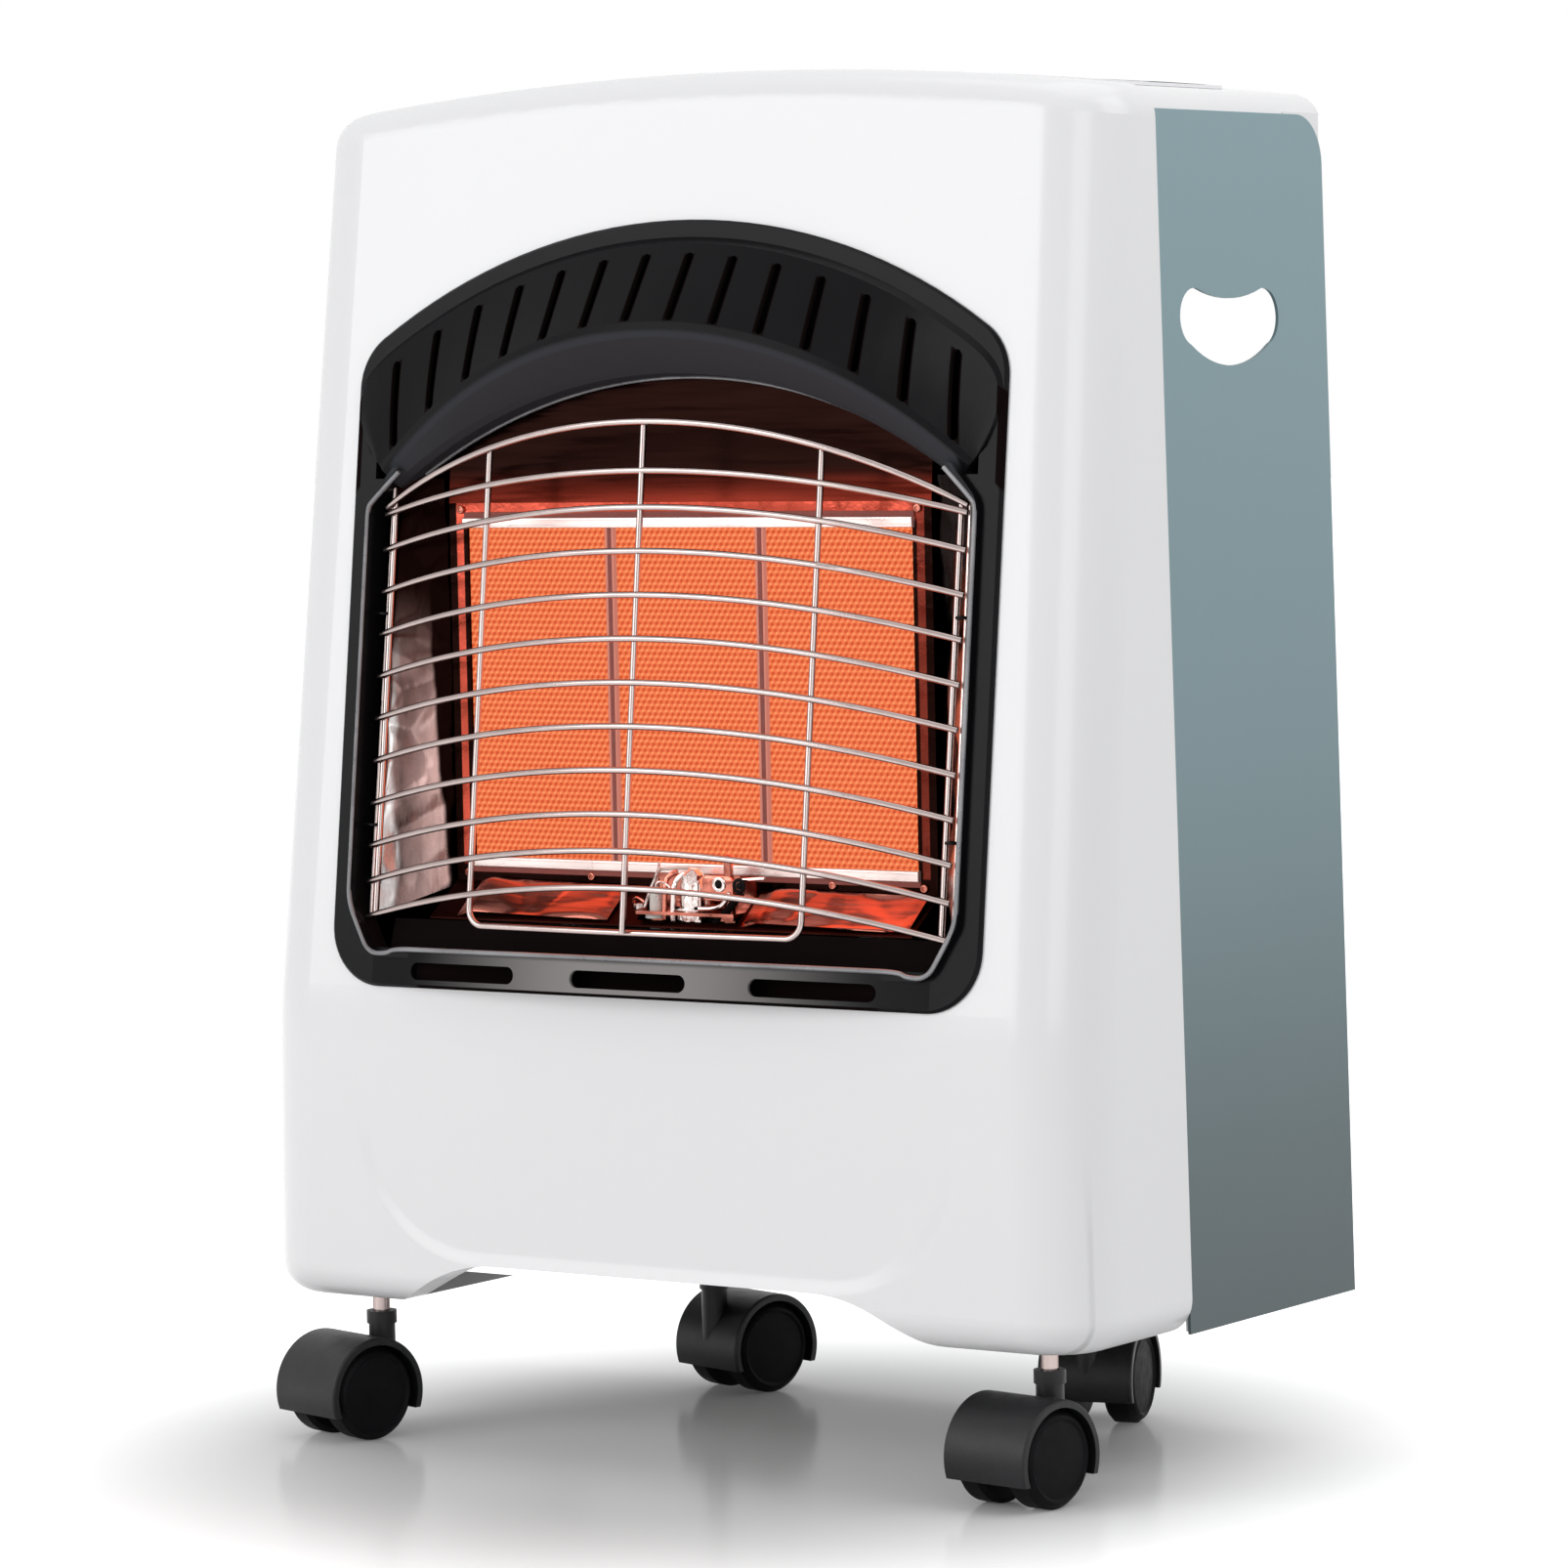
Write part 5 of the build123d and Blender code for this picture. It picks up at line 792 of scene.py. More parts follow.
def facing(x, y, z, limit=0.9):
    """A test for faces whose normal points along a direction."""
    direction = Vector((x, y, z)).normalized()
    return lambda face: face.normal.dot(direction) > limit


def edge_run(edge, axis):
    """How far an edge runs along x (0), y (1) or z (2)."""
    return abs(edge.verts[0].co[axis] - edge.verts[1].co[axis])


# %% [markdown]
# Three more helpers: a copy gets its own mesh, a wire is a curve turned into a mesh, and a
# settled piece has smooth faces, its finish and the body it rides on.

# %% Copies, wires and settling
def copy_to(piece, shift, name):
    """A copy with its own mesh, moved by a shift."""
    twin = piece.copy()
    twin.data = piece.data.copy()
    twin.name = name
    twin.data.transform(Matrix.Translation(shift))
    bpy.context.scene.collection.objects.link(twin)
    return twin


def bent_wire(name, points, radius, order):
    """A round wire or thin tube along points, made a mesh with closed ends."""
    curve = bpy.data.curves.new(name, "CURVE")
    curve.dimensions = "3D"
    line = curve.splines.new("NURBS")
    line.points.add(len(points) - 1)
    for target, point in zip(line.points, points):
        target.co = (*point, 1.0)
    line.order_u = order
    line.use_endpoint_u = True
    line.resolution_u = 6
    curve.bevel_depth = radius
    curve.bevel_resolution = 3
    curve.use_fill_caps = True
    piece = bpy.data.objects.new(name, curve)
    bpy.context.scene.collection.objects.link(piece)
    select_only(piece)
    bpy.ops.object.convert(target="MESH")
    return bpy.context.object


def settle(piece, material, body="cabinet"):
    """Smooth a finished piece, give it its finish and let it ride on its body."""
    select_only(piece)
    bpy.ops.object.shade_smooth_by_angle(angle=SMOOTH_ANGLE)
    piece.data.materials.clear()
    piece.data.materials.append(material)
    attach(piece, body)
    return piece


# %% [markdown]
# Two small shapes come up again and again: a stud with a rounded head, and a wire ring
# pressed flat along its axis. Each gets a helper.

# %% Studs and rings
def axis_of(turn):
    """Where +Z points after a turn about x."""
    return Matrix.Rotation(turn[0], 3, "X") @ Vector((0, 0, 1))


def stud(name, place, radius, height, edge, material, turn=(0, 0, 0)):
    """A short round stud with a rounded head."""
    piece = start("cylinder", name, place, turn, vertices=16, radius=radius, depth=height)
    pick(piece, "faces", facing(*axis_of(turn)))
    bpy.ops.mesh.bevel(offset=edge, segments=2)
    return settle(piece, material)


def flat_ring(name, place, radius, wire, squash, material, turn=(0, 0, 0), steps=(24, 8)):
    """A wire ring, pressed flatter along its axis."""
    piece = start("torus", name, place, turn, major_radius=radius, minor_radius=wire,
                  major_segments=steps[0], minor_segments=steps[1])
    pick(piece, "faces", lambda f: True)
    bpy.ops.transform.resize(value=[squash if abs(part) > 0.5 else 1 for part in axis_of(turn)],
                             center_override=place)
    return settle(piece, material)


# %% [markdown]
# Small pan-head screws hold the strips in the opening. A head starts as a cylinder: its top
# edge is bevelled round, and a smaller face is inset and sunk for the driver. It is modelled
# once, facing the front, and every other screw is a copy.

# %% Screw heads
HEAD_RADIUS = 2.0 * MM
HEAD_HEIGHT = 1.4 * MM
HEAD_ROUND = 0.6 * MM
DRIVER_RIM = 0.35 * MM
DRIVER_SLOPE = 0.2 * MM
DRIVER_DEPTH = 0.5 * MM
frame_low, frame_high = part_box("plaque_frame")
SCREW_X = frame_high.x - 7 * MM
SCREW_LOW = plaque_low.z - 6.2 * MM
SCREW_HIGH = plaque_high.z + 7.0 * MM
SCREW_PLACES = ((SCREW_X, SCREW_LOW), (-SCREW_X, SCREW_HIGH), (SCREW_X, SCREW_HIGH),
                (-56 * MM, SCREW_LOW), (78 * MM, SCREW_LOW))

head = start("cylinder", "strip_screw_1", (-SCREW_X, frame_low.y - HEAD_HEIGHT / 2, SCREW_LOW),
             FRONT_TURN, vertices=20, radius=HEAD_RADIUS, depth=HEAD_HEIGHT)
pick(head, "faces", facing(0, -1, 0))
bpy.ops.mesh.bevel(offset=HEAD_ROUND, segments=3)
pick(head, "faces", lambda f: f.normal.y < -0.99 and len(f.verts) > 8)
bpy.ops.mesh.inset(thickness=DRIVER_RIM)
bpy.ops.mesh.inset(thickness=DRIVER_SLOPE, depth=-DRIVER_DEPTH)
settle(head, rose)
for count, (x, z) in enumerate(SCREW_PLACES, 2):
    twin = copy_to(head, (x + SCREW_X, 0, z - SCREW_LOW), "strip_screw_%d" % count)
    settle(twin, rose)
print("strip screws:", count)

# %% [markdown]
# A bright folded strip holds the plaques along their upper edge and another along the lower
# edge. Each starts as a bar: its front edges are rolled round with a small bevel, and a fine
# groove is inset along its face. A narrow dark red strip behind it is the gap in its shadow.

# %% Retaining strips
STRIP_HEIGHT = 4.8 * MM
STRIP_LAP = 1.6 * MM
STRIP_PROUD = 2.6 * MM
SAME_PLANE = 0.01 * MM
GROOVE_WIDTH = 0.15 * MM
GROOVE_DEPTH = 0.12 * MM
GAP_HEIGHT = 2.6 * MM
GAP_BACK = 1.6 * MM
strip_half = frame_high.x - 9 * MM
strip_front = frame_low.y - STRIP_PROUD


def strip(name, low, high, roll, groove, material):
    """A bar with rolled front edges and a fine groove along its face."""
    piece = bar_piece(name, low, high)
    pick(piece, "edges", lambda e: all(abs(v.co.y - low[1]) < SAME_PLANE for v in e.verts))
    bpy.ops.mesh.bevel(offset=roll, segments=3)
    pick(piece, "faces", facing(0, -1, 0, 0.99))
    bpy.ops.mesh.inset(thickness=groove)
    bpy.ops.mesh.inset(thickness=GROOVE_WIDTH, depth=-GROOVE_DEPTH)
    settle(piece, material)


for name, edge, side in (("top_strip", plaque_high.z, 1), ("low_strip", plaque_low.z, -1)):
    inner = edge - side * STRIP_LAP
    outer = inner + side * STRIP_HEIGHT
    strip(name, (-strip_half, strip_front, min(inner, outer)),
          (strip_half, frame_low.y + 0.5 * MM, max(inner, outer)),
          roll=0.5 * MM, groove=0.7 * MM, material=bright)
    gap_low = outer if side > 0 else outer - GAP_HEIGHT
    strip(name + "_shadow_gap", (-strip_half, strip_front + GAP_BACK, gap_low),
          (strip_half, frame_low.y + 0.2 * MM, gap_low + GAP_HEIGHT),
          roll=0.3 * MM, groove=0.6 * MM, material=maroon)
print("strips:", round(2 * strip_half, 4), "m long")

# %% [markdown]
# The two joints between the plaques are packed with a dark red cord of fibre, held by a narrow
# sheet edge on each side. The sheet edges glow, a painted highlight that makes them read as lit
# lines. The packing is a bar with a rounded front, and the edges are one thin bar modelled once
# and copied. All stand just in front of the frame's bars.

# %% Joints between plaques
PACKING_HALF = 1.25 * MM
PACKING_PROUD = 0.9 * MM
EDGE_WIDTH = 1.1 * MM
EDGE_PROUD = 1.1 * MM
JOINT_END = 1 * MM
# Painted highlight: the sheet edges emit an orange glow.
edge_sheet = plain_finish(
    "joint_edge", (0.10, 0.03, 0.02),
    sockets={"Emission Color": (1.0, 0.36, 0.27, 1), "Emission Strength": 0.5},
    drift=0.2, rough=0.4, rough_drift=0.1, metal=0.6, grain=300.0, depth=0.0001, patch=60.0)
gap_half = (plaque_low.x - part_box("ceramic_plaque_left")[1].x) / 2
joint_front = min(frame_low.y, plaque_low.y)
joint_low, joint_high = plaque_low.z + JOINT_END, plaque_high.z - JOINT_END
first_edge = None
for name, x in (("left", plaque_low.x - gap_half), ("right", plaque_high.x + gap_half)):
    packing = bar_piece("joint_packing_" + name,
                        (x - PACKING_HALF, joint_front - PACKING_PROUD, joint_low),
                        (x + PACKING_HALF, plaque_low.y + 0.6 * MM, joint_high))
    pick(packing, "edges",
         lambda e: all(v.co.y < joint_front for v in e.verts) and edge_run(e, 2) > 5 * MM)
    bpy.ops.mesh.bevel(offset=0.5 * MM, segments=3)
    settle(packing, maroon)
    for side in (-1, 1):
        label = "joint_edge_%s_%s" % (name, "outer" if side * x > 0 else "inner")
        edge_x = x + side * (PACKING_HALF + EDGE_WIDTH / 2)
        if first_edge is None:
            first_x = edge_x
            first_edge = bar_piece(
                label, (edge_x - EDGE_WIDTH / 2, joint_front - EDGE_PROUD, joint_low),
                (edge_x + EDGE_WIDTH / 2, plaque_low.y + 0.1 * MM, joint_high))
            pick(first_edge, "edges",
                 lambda e: all(v.co.y < joint_front - 0.5 * MM for v in e.verts))
            bpy.ops.mesh.bevel(offset=0.15 * MM, segments=2)
            settle(first_edge, edge_sheet)
        else:
            settle(copy_to(first_edge, (edge_x - first_x, 0, 0), label), edge_sheet)
print("joints at x", round(plaque_low.x - gap_half, 4), round(plaque_high.x + gap_half, 4))

# %% [markdown]
# The side reflectors are thin foil-like sheets that have buckled in the heat. Flat CAD sheets
# hold their place, so each is replaced by a grid. A Voronoi pattern gives it creases, a noise
# gives slow waves, and Solidify gives the wall. Its edges stay where the columns put them.

# %% A helper for buckled sheets
SHEET_WALL = 0.5 * MM
FADE_EDGE = 0.06
WAVE_SCALE = 0.8


def buckled(name, columns, cuts, wave, crease, cell, seed):
    """A thin sheet over columns of points: each its place across, its low and its high end."""
    sheet = start("grid", name, size=1, x_subdivisions=cuts[0], y_subdivisions=cuts[1])
    shift = Vector((seed, seed * 2.0, 0))
    for vertex in sheet.data.vertices:
        u, v = vertex.co.x + 0.5, vertex.co.y + 0.5
        for (start_u, low_a, high_a), (end_u, low_b, high_b) in zip(columns, columns[1:]):
            if u <= end_u + 1e-6:
                break
        share = (u - start_u) / (end_u - start_u)
        low_a, high_a, low_b, high_b = map(Vector, (low_a, high_a, low_b, high_b))
        flat = low_a.lerp(low_b, share).lerp(high_a.lerp(high_b, share), v)
        out = (low_b - low_a).cross(high_a - low_a).normalized()
        fade = min(1.0, min(u, 1 - u, v, 1 - v) / FADE_EDGE)
        near = noise.voronoi(flat * cell + shift)[0]
        bend = wave * noise.noise(flat * cell * WAVE_SCALE + shift)
        vertex.co = flat + out * fade * (crease * (near[1] - near[0]) + bend)
    select_only(sheet)
    sheet.modifiers.new("wall", "SOLIDIFY").thickness = SHEET_WALL
    bpy.ops.object.modifier_apply(modifier="wall")
    return sheet


# %% [markdown]
# The foil of the side reflectors is streaked by the heat. Its lower front edge is painted pale
# silver as a painted highlight, it is darker towards the top, and behind the fold it gets
# painted shade. The fold runs up at a slight slant.

# %% Buckled foil
SILVER_HIGHLIGHT = (0.66, 0.64, 0.63)
SILVER_HIGHLIGHT_ZONE = (("side", 0.1545, 0.1565), ("z", 0.40, 0.33))
TOP_DARK = (0.045, 0.014, 0.01)
TOP_DARK_RANGE = (0.395, 0.300, 0.22, 1.0)
FOLD_FOOT = 0.1302
FOLD_SLANT = 0.034
UNSHADED_ZONE = (("past_fold", 0.0, 0.0016), ("z", 0.405, 0.355))
foil, tree, shader, peel, place = finish(
    "buckled_foil", (0.40, 0.27, 0.25), drift=0.9, rough=0.26, rough_drift=0.05, metal=1.0,
    grain=150.0, depth=0.0004, patch=30.0, stretch=(1, 1, 0.3))
point = point_of(tree, place)
fold_line = math_node(tree, "ADD", math_node(tree, "MULTIPLY", point["z"], FOLD_SLANT),
                      FOLD_FOOT)
point["past_fold"] = math_node(tree, "SUBTRACT", point["side"], fold_line)
# A painted highlight on the lower front edge, a darker colour towards the top, and painted shade
# behind the fold.
paint_where(tree, shader, zone(tree, point, *SILVER_HIGHLIGHT_ZONE), SILVER_HIGHLIGHT)
paint_where(tree, shader, range_node(tree, point["z"], *TOP_DARK_RANGE), TOP_DARK, mask_is=0)
paint_where(tree, shader, zone(tree, point, *UNSHADED_ZONE), PAINTED_SHADE, mask_is=0)
print(foil.name, "has", len(tree.nodes), "nodes")

# %% [markdown]
# Each side sheet has three columns: its front edge behind the bezel, a fold beside the plaque
# frame, and its rear edge straight behind the fold. A bright hem runs along the front edge.

# %% Side reflectors
FACE_BACK = 3.6 * MM
SIDE_LOW, SIDE_HIGH = 250 * MM, 452 * MM
FRONT_X_LOW, FRONT_X_HIGH = 161.5 * MM, 160.0 * MM
FRONT_DROP = 1 * MM
FOLD_X = frame_high.x + 3.5 * MM
FOLD_SHARE = 0.6
FOLD_LOW = SIDE_LOW + 12 * MM
FOLD_BACK_LOW, FOLD_BACK_HIGH = 4.5 * MM, 1.0 * MM
SIDE_BUCKLE = dict(cuts=(40, 110), wave=3.0 * MM, crease=3.4 * MM, cell=34.0)
HEM_RADIUS = 0.9 * MM


def lean_y(z, back):
    """Depth of a point at a height, set back from the heater's leaning face."""
    return bend_y + (z - BEND_Z) * math.tan(LEAN) + back


for name, side, seed in (("left", -1, 3.0), ("right", 1, 8.0)):
    fold_x = side * FOLD_X
    rear_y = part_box("reflector_" + name)[1].y
    front_low = (side * FRONT_X_LOW, lean_y(SIDE_LOW, FACE_BACK), SIDE_LOW - FRONT_DROP)
    front_high = (side * FRONT_X_HIGH, lean_y(SIDE_HIGH, FACE_BACK), SIDE_HIGH)
    columns = [
        (0.0, front_low, front_high),
        (FOLD_SHARE, (fold_x, frame_low.y + FOLD_BACK_LOW, FOLD_LOW),
         (fold_x, frame_low.y + FOLD_BACK_HIGH, SIDE_HIGH)),
        (1.0, (fold_x, rear_y, FOLD_LOW), (fold_x, rear_y, SIDE_HIGH))]
    sheet = buckled("buckled_reflector_" + name, columns, seed=seed, **SIDE_BUCKLE)
    settle(sheet, foil)
    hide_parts("reflector_" + name)
    hem = [front_low, Vector(front_low).lerp(Vector(front_high), 0.5), front_high]
    settle(bent_wire("reflector_hem_" + name, hem, HEM_RADIUS, 2), bright)
print("side reflectors from z", round(SIDE_LOW, 3), "to", round(SIDE_HIGH, 3))

# %% [markdown]
# Two buckled liners lie on the floor of the opening, left and right of the pilot. They catch
# the plaques' glow in long red streaks.

# %% Buckled floor liners
LINER_LIFT = 1.6 * MM
LINER_FRONT = 1 * MM
LINER_BACK = 3 * MM
LINER_BUCKLE = dict(cuts=(70, 20), wave=2.0 * MM, crease=2.4 * MM, cell=28.0)
floor_low, floor_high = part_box("reflector_bottom")
shelf_low, shelf_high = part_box("pilot_bracket")
liner_low, liner_high = floor_low.z + LINER_LIFT, floor_high.z + LINER_LIFT
liner_red = plain_finish(
    "liner_sheet", (0.30, 0.10, 0.075), drift=0.9, rough=0.2, rough_drift=0.04, metal=1.0,
    grain=120.0, depth=0.0004, patch=70.0, stretch=(0.14, 1, 1))
for name, x0, x1, seed in (("left", floor_low.x + 15 * MM, shelf_low.x - 16 * MM, 5.0),
                           ("right", shelf_high.x + 4 * MM, floor_high.x - 3 * MM, 1.0)):
    columns = []
    # Place across, then how much the front edge is lifted, and the rear edge pulled and lowered.
    for share, lift, pull, drop in ((0.0, 0, 2, 3), (0.1, 2.4, 0, 0), (1.0, 1, 0, 1)):
        x = x0 + share * (x1 - x0)
        columns.append((share, (x, floor_low.y + LINER_FRONT, liner_low + lift * MM),
                        (x, floor_high.y - LINER_BACK - pull * MM, liner_high - drop * MM)))
    settle(buckled("floor_liner_" + name, columns, seed=seed, **LINER_BUCKLE), liner_red)
print("floor liners from z", round(floor_low.z, 4), "to", round(floor_high.z, 4))

# %% [markdown]
# The bezel's opening has a raised bead round it, painted a lighter grey along its crest as a
# painted highlight. It is a wire laid along the opening's outline on the leaning face. Below, it
# climbs onto the upper edge of the bowed lower rail.

# %% Bezel bead
BEAD_RADIUS = 1.15 * MM
RAIL_HALF = 140.0 * MM
RAIL_EDGE_Z = 234.8 * MM
RAIL_STEPS = 6
# The right half of the opening's outline, from its top to the rail: x and height, in mm.
OUTLINE = ((151, 455), (166.5, 441), (168.2, 438), (168.2, 428), (168.2, 270), (168.2, 256),
           (161, 243), (155, 232.5), (144, 232.5))
# Painted highlight: the beads are a lighter grey than the black resin.
bead_highlight = plain_finish(
    "bead_painted_highlight", (0.22, 0.22, 0.23), drift=0.3, rough=0.3, metal=0.3, grain=900.0,
    depth=0.00003, patch=30.0)


def on_face(x, z, rise):
    """A point over the leaning face, from its x, its height on it and how far it stands out."""
    slope = (z - BEND_Z) / math.cos(LEAN)
    return Vector((x, bend_y + slope * math.sin(LEAN) - rise * math.cos(LEAN),
                   BEND_Z + slope * math.cos(LEAN) + rise * math.sin(LEAN)))


right_half = [on_face(x * MM, z * MM, BEAD_RISE) for x, z in OUTLINE]
left_half = [Vector((-point.x, point.y, point.z)) for point in right_half]
rail = []
for step in range(-RAIL_STEPS, RAIL_STEPS + 1):
    x = RAIL_HALF * step / RAIL_STEPS
    rise = max(BEAD_RISE, RAIL_BOW - x * x / (2 * RAIL_CURVE))
    rail.append(on_face(x, RAIL_EDGE_Z, rise - 0.4 * MM))
bead = bent_wire("bezel_bead", left_half + rail + right_half[::-1], BEAD_RADIUS, 3)
settle(bead, bead_highlight)
print("bead points:", len(OUTLINE) * 2 + len(rail))

# %% [markdown]
# A thinner bead runs along the hood's lip, whose arch widens a little towards its ends; its
# lighter grey is a painted highlight along the lip's edge. A small dark baffle closes the gap
# between the lip and the upper reflector. It is a bar with round upper corners and a face that
# is sunk like a pressed sheet.

# %% Hood lip and baffle
LIP_RADIUS = 229.7 * MM
LIP_SPREAD = 8.0 * MM
LIP_SPREAD_AT = 41.0
LIP_BACK = 8.3 * MM
LIP_SWEEP = 38.0
LIP_STEPS = 9
LIP_WIRE = 0.9 * MM
BAFFLE_HALF = 96 * MM
BAFFLE_ROUND = 6 * MM
lip = []
for step in range(-LIP_STEPS, LIP_STEPS + 1):
    angle = LIP_SWEEP * step / LIP_STEPS
    turn = math.radians(angle)
    radius = LIP_RADIUS + LIP_SPREAD * (angle / LIP_SPREAD_AT) ** 2
    height = BEND_Z + (HOOD_CENTRE + radius * math.cos(turn)) * math.cos(LEAN)
    lip.append(on_face(radius * math.sin(turn), height, -LIP_BACK))
settle(bent_wire("hood_lip_bead", lip, LIP_WIRE, 3), bead_highlight)
top_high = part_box("reflector_top")[1]
baffle = bar_piece("top_baffle", (-BAFFLE_HALF, top_high.y - 0.4 * MM, top_high.z - 3 * MM),
                   (BAFFLE_HALF, top_high.y + 0.6 * MM, top_high.z + 13 * MM))
pick(baffle, "edges",
     lambda e: all(v.co.z > top_high.z for v in e.verts) and edge_run(e, 1) > 0.5 * MM)
bpy.ops.mesh.bevel(offset=BAFFLE_ROUND, segments=4)
pick(baffle, "faces", facing(0, -1, 0))
bpy.ops.mesh.inset(thickness=2 * MM, depth=-0.2 * MM)
settle(baffle, stained)
print("lip points:", len(lip))

# %% [markdown]
# The pilot is a small cluster on its shelf: a slotted hood with a cone over the burner, a
# clamp flange, union nuts, two thin feed tubes, the bent spark wire, a pierced side plate
# with its eyelets, and a black leg that runs down to the base. Places in it are in mm: across,
# forward from the burner's axis, and up. The cone is extruded in steps, each with its rise
# and how much its top shrinks, and the slots are every so many degrees round the wall.

# %% Pilot hood
PILOT_AT = 10
HOOD_STEPS = ((0.9, 0.93), (3.2, 0.80), (2.2, 0.42))
HOOD_WALL_TOP = 264 * MM
SLOT_EVERY, SLOT_WIDE = 40, 14
pilot_y = sum(corner.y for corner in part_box("pilot_burner")) / 2


def at(x, forward, z):
    """A place in the pilot, from its millimetres."""
    return Vector((x * MM, pilot_y - forward * MM, z * MM))


pilot_axis = at(PILOT_AT, 0, 0)
hood = start("cylinder", "pilot_hood", at(PILOT_AT, 0, 262.6), vertices=28, radius=6.1 * MM,
             depth=11.6 * MM)
pick(hood, "faces", facing(0, 0, 1))
for rise, size in HOOD_STEPS:
    bpy.ops.mesh.extrude_region_move(TRANSFORM_OT_translate={"value": (0, 0, rise * MM)})
    bpy.ops.transform.resize(value=(size, size, 1), center_override=pilot_axis)
pick(hood, "faces", lambda f: abs(f.normal.z) < 0.1
     and f.calc_center_median().z < HOOD_WALL_TOP
     and int(math.degrees(math.atan2(f.normal.y, f.normal.x)) + 360) % SLOT_EVERY < SLOT_WIDE)
bpy.ops.mesh.inset(thickness=0.25 * MM, depth=-0.7 * MM)
settle(hood, hot_metal)
print("pilot hood of", len(hood.data.polygons), "faces")

# %% Clamp flange and union nuts
NUTS = (("pilot_nut", (PILOT_AT, 0, 249.8), 6.6, 5.6, hot_metal),
        ("thermo_nut", (30, 0, 250.8), 4.6, 4.6, rose),
        ("spark_nut", (-10, 0, 250.8), 5.0, 4.6, rose),
        ("clamp_nut", (-19.5, 1, 256.8), 3.0, 3.0, hot_metal))
flange = start("cylinder", "pilot_flange", at(PILOT_AT, 0.6, 256.5), vertices=28,
               radius=9.8 * MM, depth=1.3 * MM)
pick(flange, "faces", lambda f: True)
bpy.ops.transform.resize(value=(1, 0.7, 1), center_override=pilot_axis)
pick(flange, "edges", lambda e: edge_run(e, 2) < 0.1 * MM)
bpy.ops.mesh.bevel(offset=0.35 * MM, segments=2)
settle(flange, hot_metal)
for name, place, radius, height, material in NUTS:
    nut = start("cylinder", name, at(*place), vertices=6, radius=radius * MM,
                depth=height * MM)
    pick(nut, "faces", lambda f: abs(f.normal.z) > 0.9)
    bpy.ops.mesh.bevel(offset=0.5 * MM, segments=2)
    pick(nut, "faces", lambda f: abs(f.normal.z) > 0.99)
    bpy.ops.mesh.inset(thickness=0.6 * MM)
    bpy.ops.mesh.inset(thickness=0.2 * MM, depth=-0.5 * MM)
    settle(nut, material)
for name, x in (("flange_rivet_1", 4.4), ("flange_rivet_2", 15.2)):
    stud(name, at(x, 5.4, 257.3), radius=1.3 * MM, height=1.2 * MM, edge=0.4 * MM,
         material=resin)
print("nuts:", len(NUTS))

# %% Electrode ribs
RIB_PITCH = 2.3 * MM
rib = flat_ring("electrode_rib_1", at(-10, 0, 257.2), radius=3.2 * MM, wire=0.8 * MM,
                squash=0.7, material=porcelain)
for index in (2, 3):
    twin = copy_to(rib, (0, 0, (index - 1) * RIB_PITCH), "electrode_rib_%d" % index)
    settle(twin, porcelain)
print("ribs, one every", RIB_PITCH, "m")

# %% Feed tubes, spark wires, plate and leg
# Each wire: its name, its points, its radius in mm and its finish.
WIRES = (
    ("pilot_feed_1", ((-4.4, 3, 247), (-4.4, 3, 266), (-3.4, 1, 272), (1, 0, 273)), 1.2, rose),
    ("pilot_feed_2", ((0.8, 4, 247), (0.8, 4, 264), (2.2, 2, 271), (6, 1, 272.5)), 1.2,
     hot_metal),
    ("spark_wire_1", ((-8.2, 1.5, 277.5), (-7.1, 2, 274.6), (-13.5, 3.4, 262.7),
                      (-15.3, 3.2, 256.5)), 0.65, hot_metal),
    ("spark_wire_2", ((-15.3, 3.2, 259), (-20, 3, 262), (-24, 1, 258), (-22, 0, 254)), 0.7,
     rose),
    ("spark_wire_3", ((-6.5, 4.2, 260), (-9.5, 4.6, 266), (-5, 4, 270), (-2, 2, 266)), 0.6,
     hot_metal),
    ("side_hook", ((16, 5, 257.2), (24, 5.2, 257), (31, 5, 260), (33, 4.6, 265)), 1.1,
     hot_metal),
    ("side_spike", ((38.5, 3.4, 270.8), (44, 3.2, 271.4), (51, 3, 271.8)), 0.8, hot_metal),
    ("pilot_leg", ((38.5, 3.4, 265), (31, 4.2, 256), (22, 4.8, 247.6)), 1.9, resin))
for name, points, radius, material in WIRES:
    settle(bent_wire(name, [at(*point) for point in points], radius * MM, 3), material)
plate = bar_piece("pilot_side_plate", at(17.6, 4.4, 261.0), at(34.5, 3.4, 272.2))
pick(plate, "edges", lambda e: edge_run(e, 1) > 0.5 * MM)
bpy.ops.mesh.bevel(offset=2.6 * MM, segments=5)
pick(plate, "faces", facing(0, -1, 0))
bpy.ops.mesh.inset(thickness=0.6 * MM, depth=0.2 * MM)
settle(plate, rose)
for name, x, z, material in (("side_eyelet_1", 27.4, 268.6, hot_metal),
                             ("side_eyelet_2", 38.4, 268.2, resin)):
    flat_ring(name, at(x, 5.0, z), radius=2.7 * MM, wire=0.9 * MM, squash=0.7,
              material=material, turn=FRONT_TURN)
    stud(name + "_pin", at(x, 4.4, z), radius=1.7 * MM, height=2.0 * MM, edge=0.5 * MM,
         material=resin, turn=FRONT_TURN)
print("pilot pieces round", [round(c, 4) for c in at(PILOT_AT, 0, 262)])

# %% [markdown]
# The wire guard is held to the bezel by four thin spring hooks. The CAD holds each as a plain
# block. Here each is a bent wire that leaves the bezel's wall and turns round the guard's
# side wire, and the four are joined into one piece that takes the blocks' place.

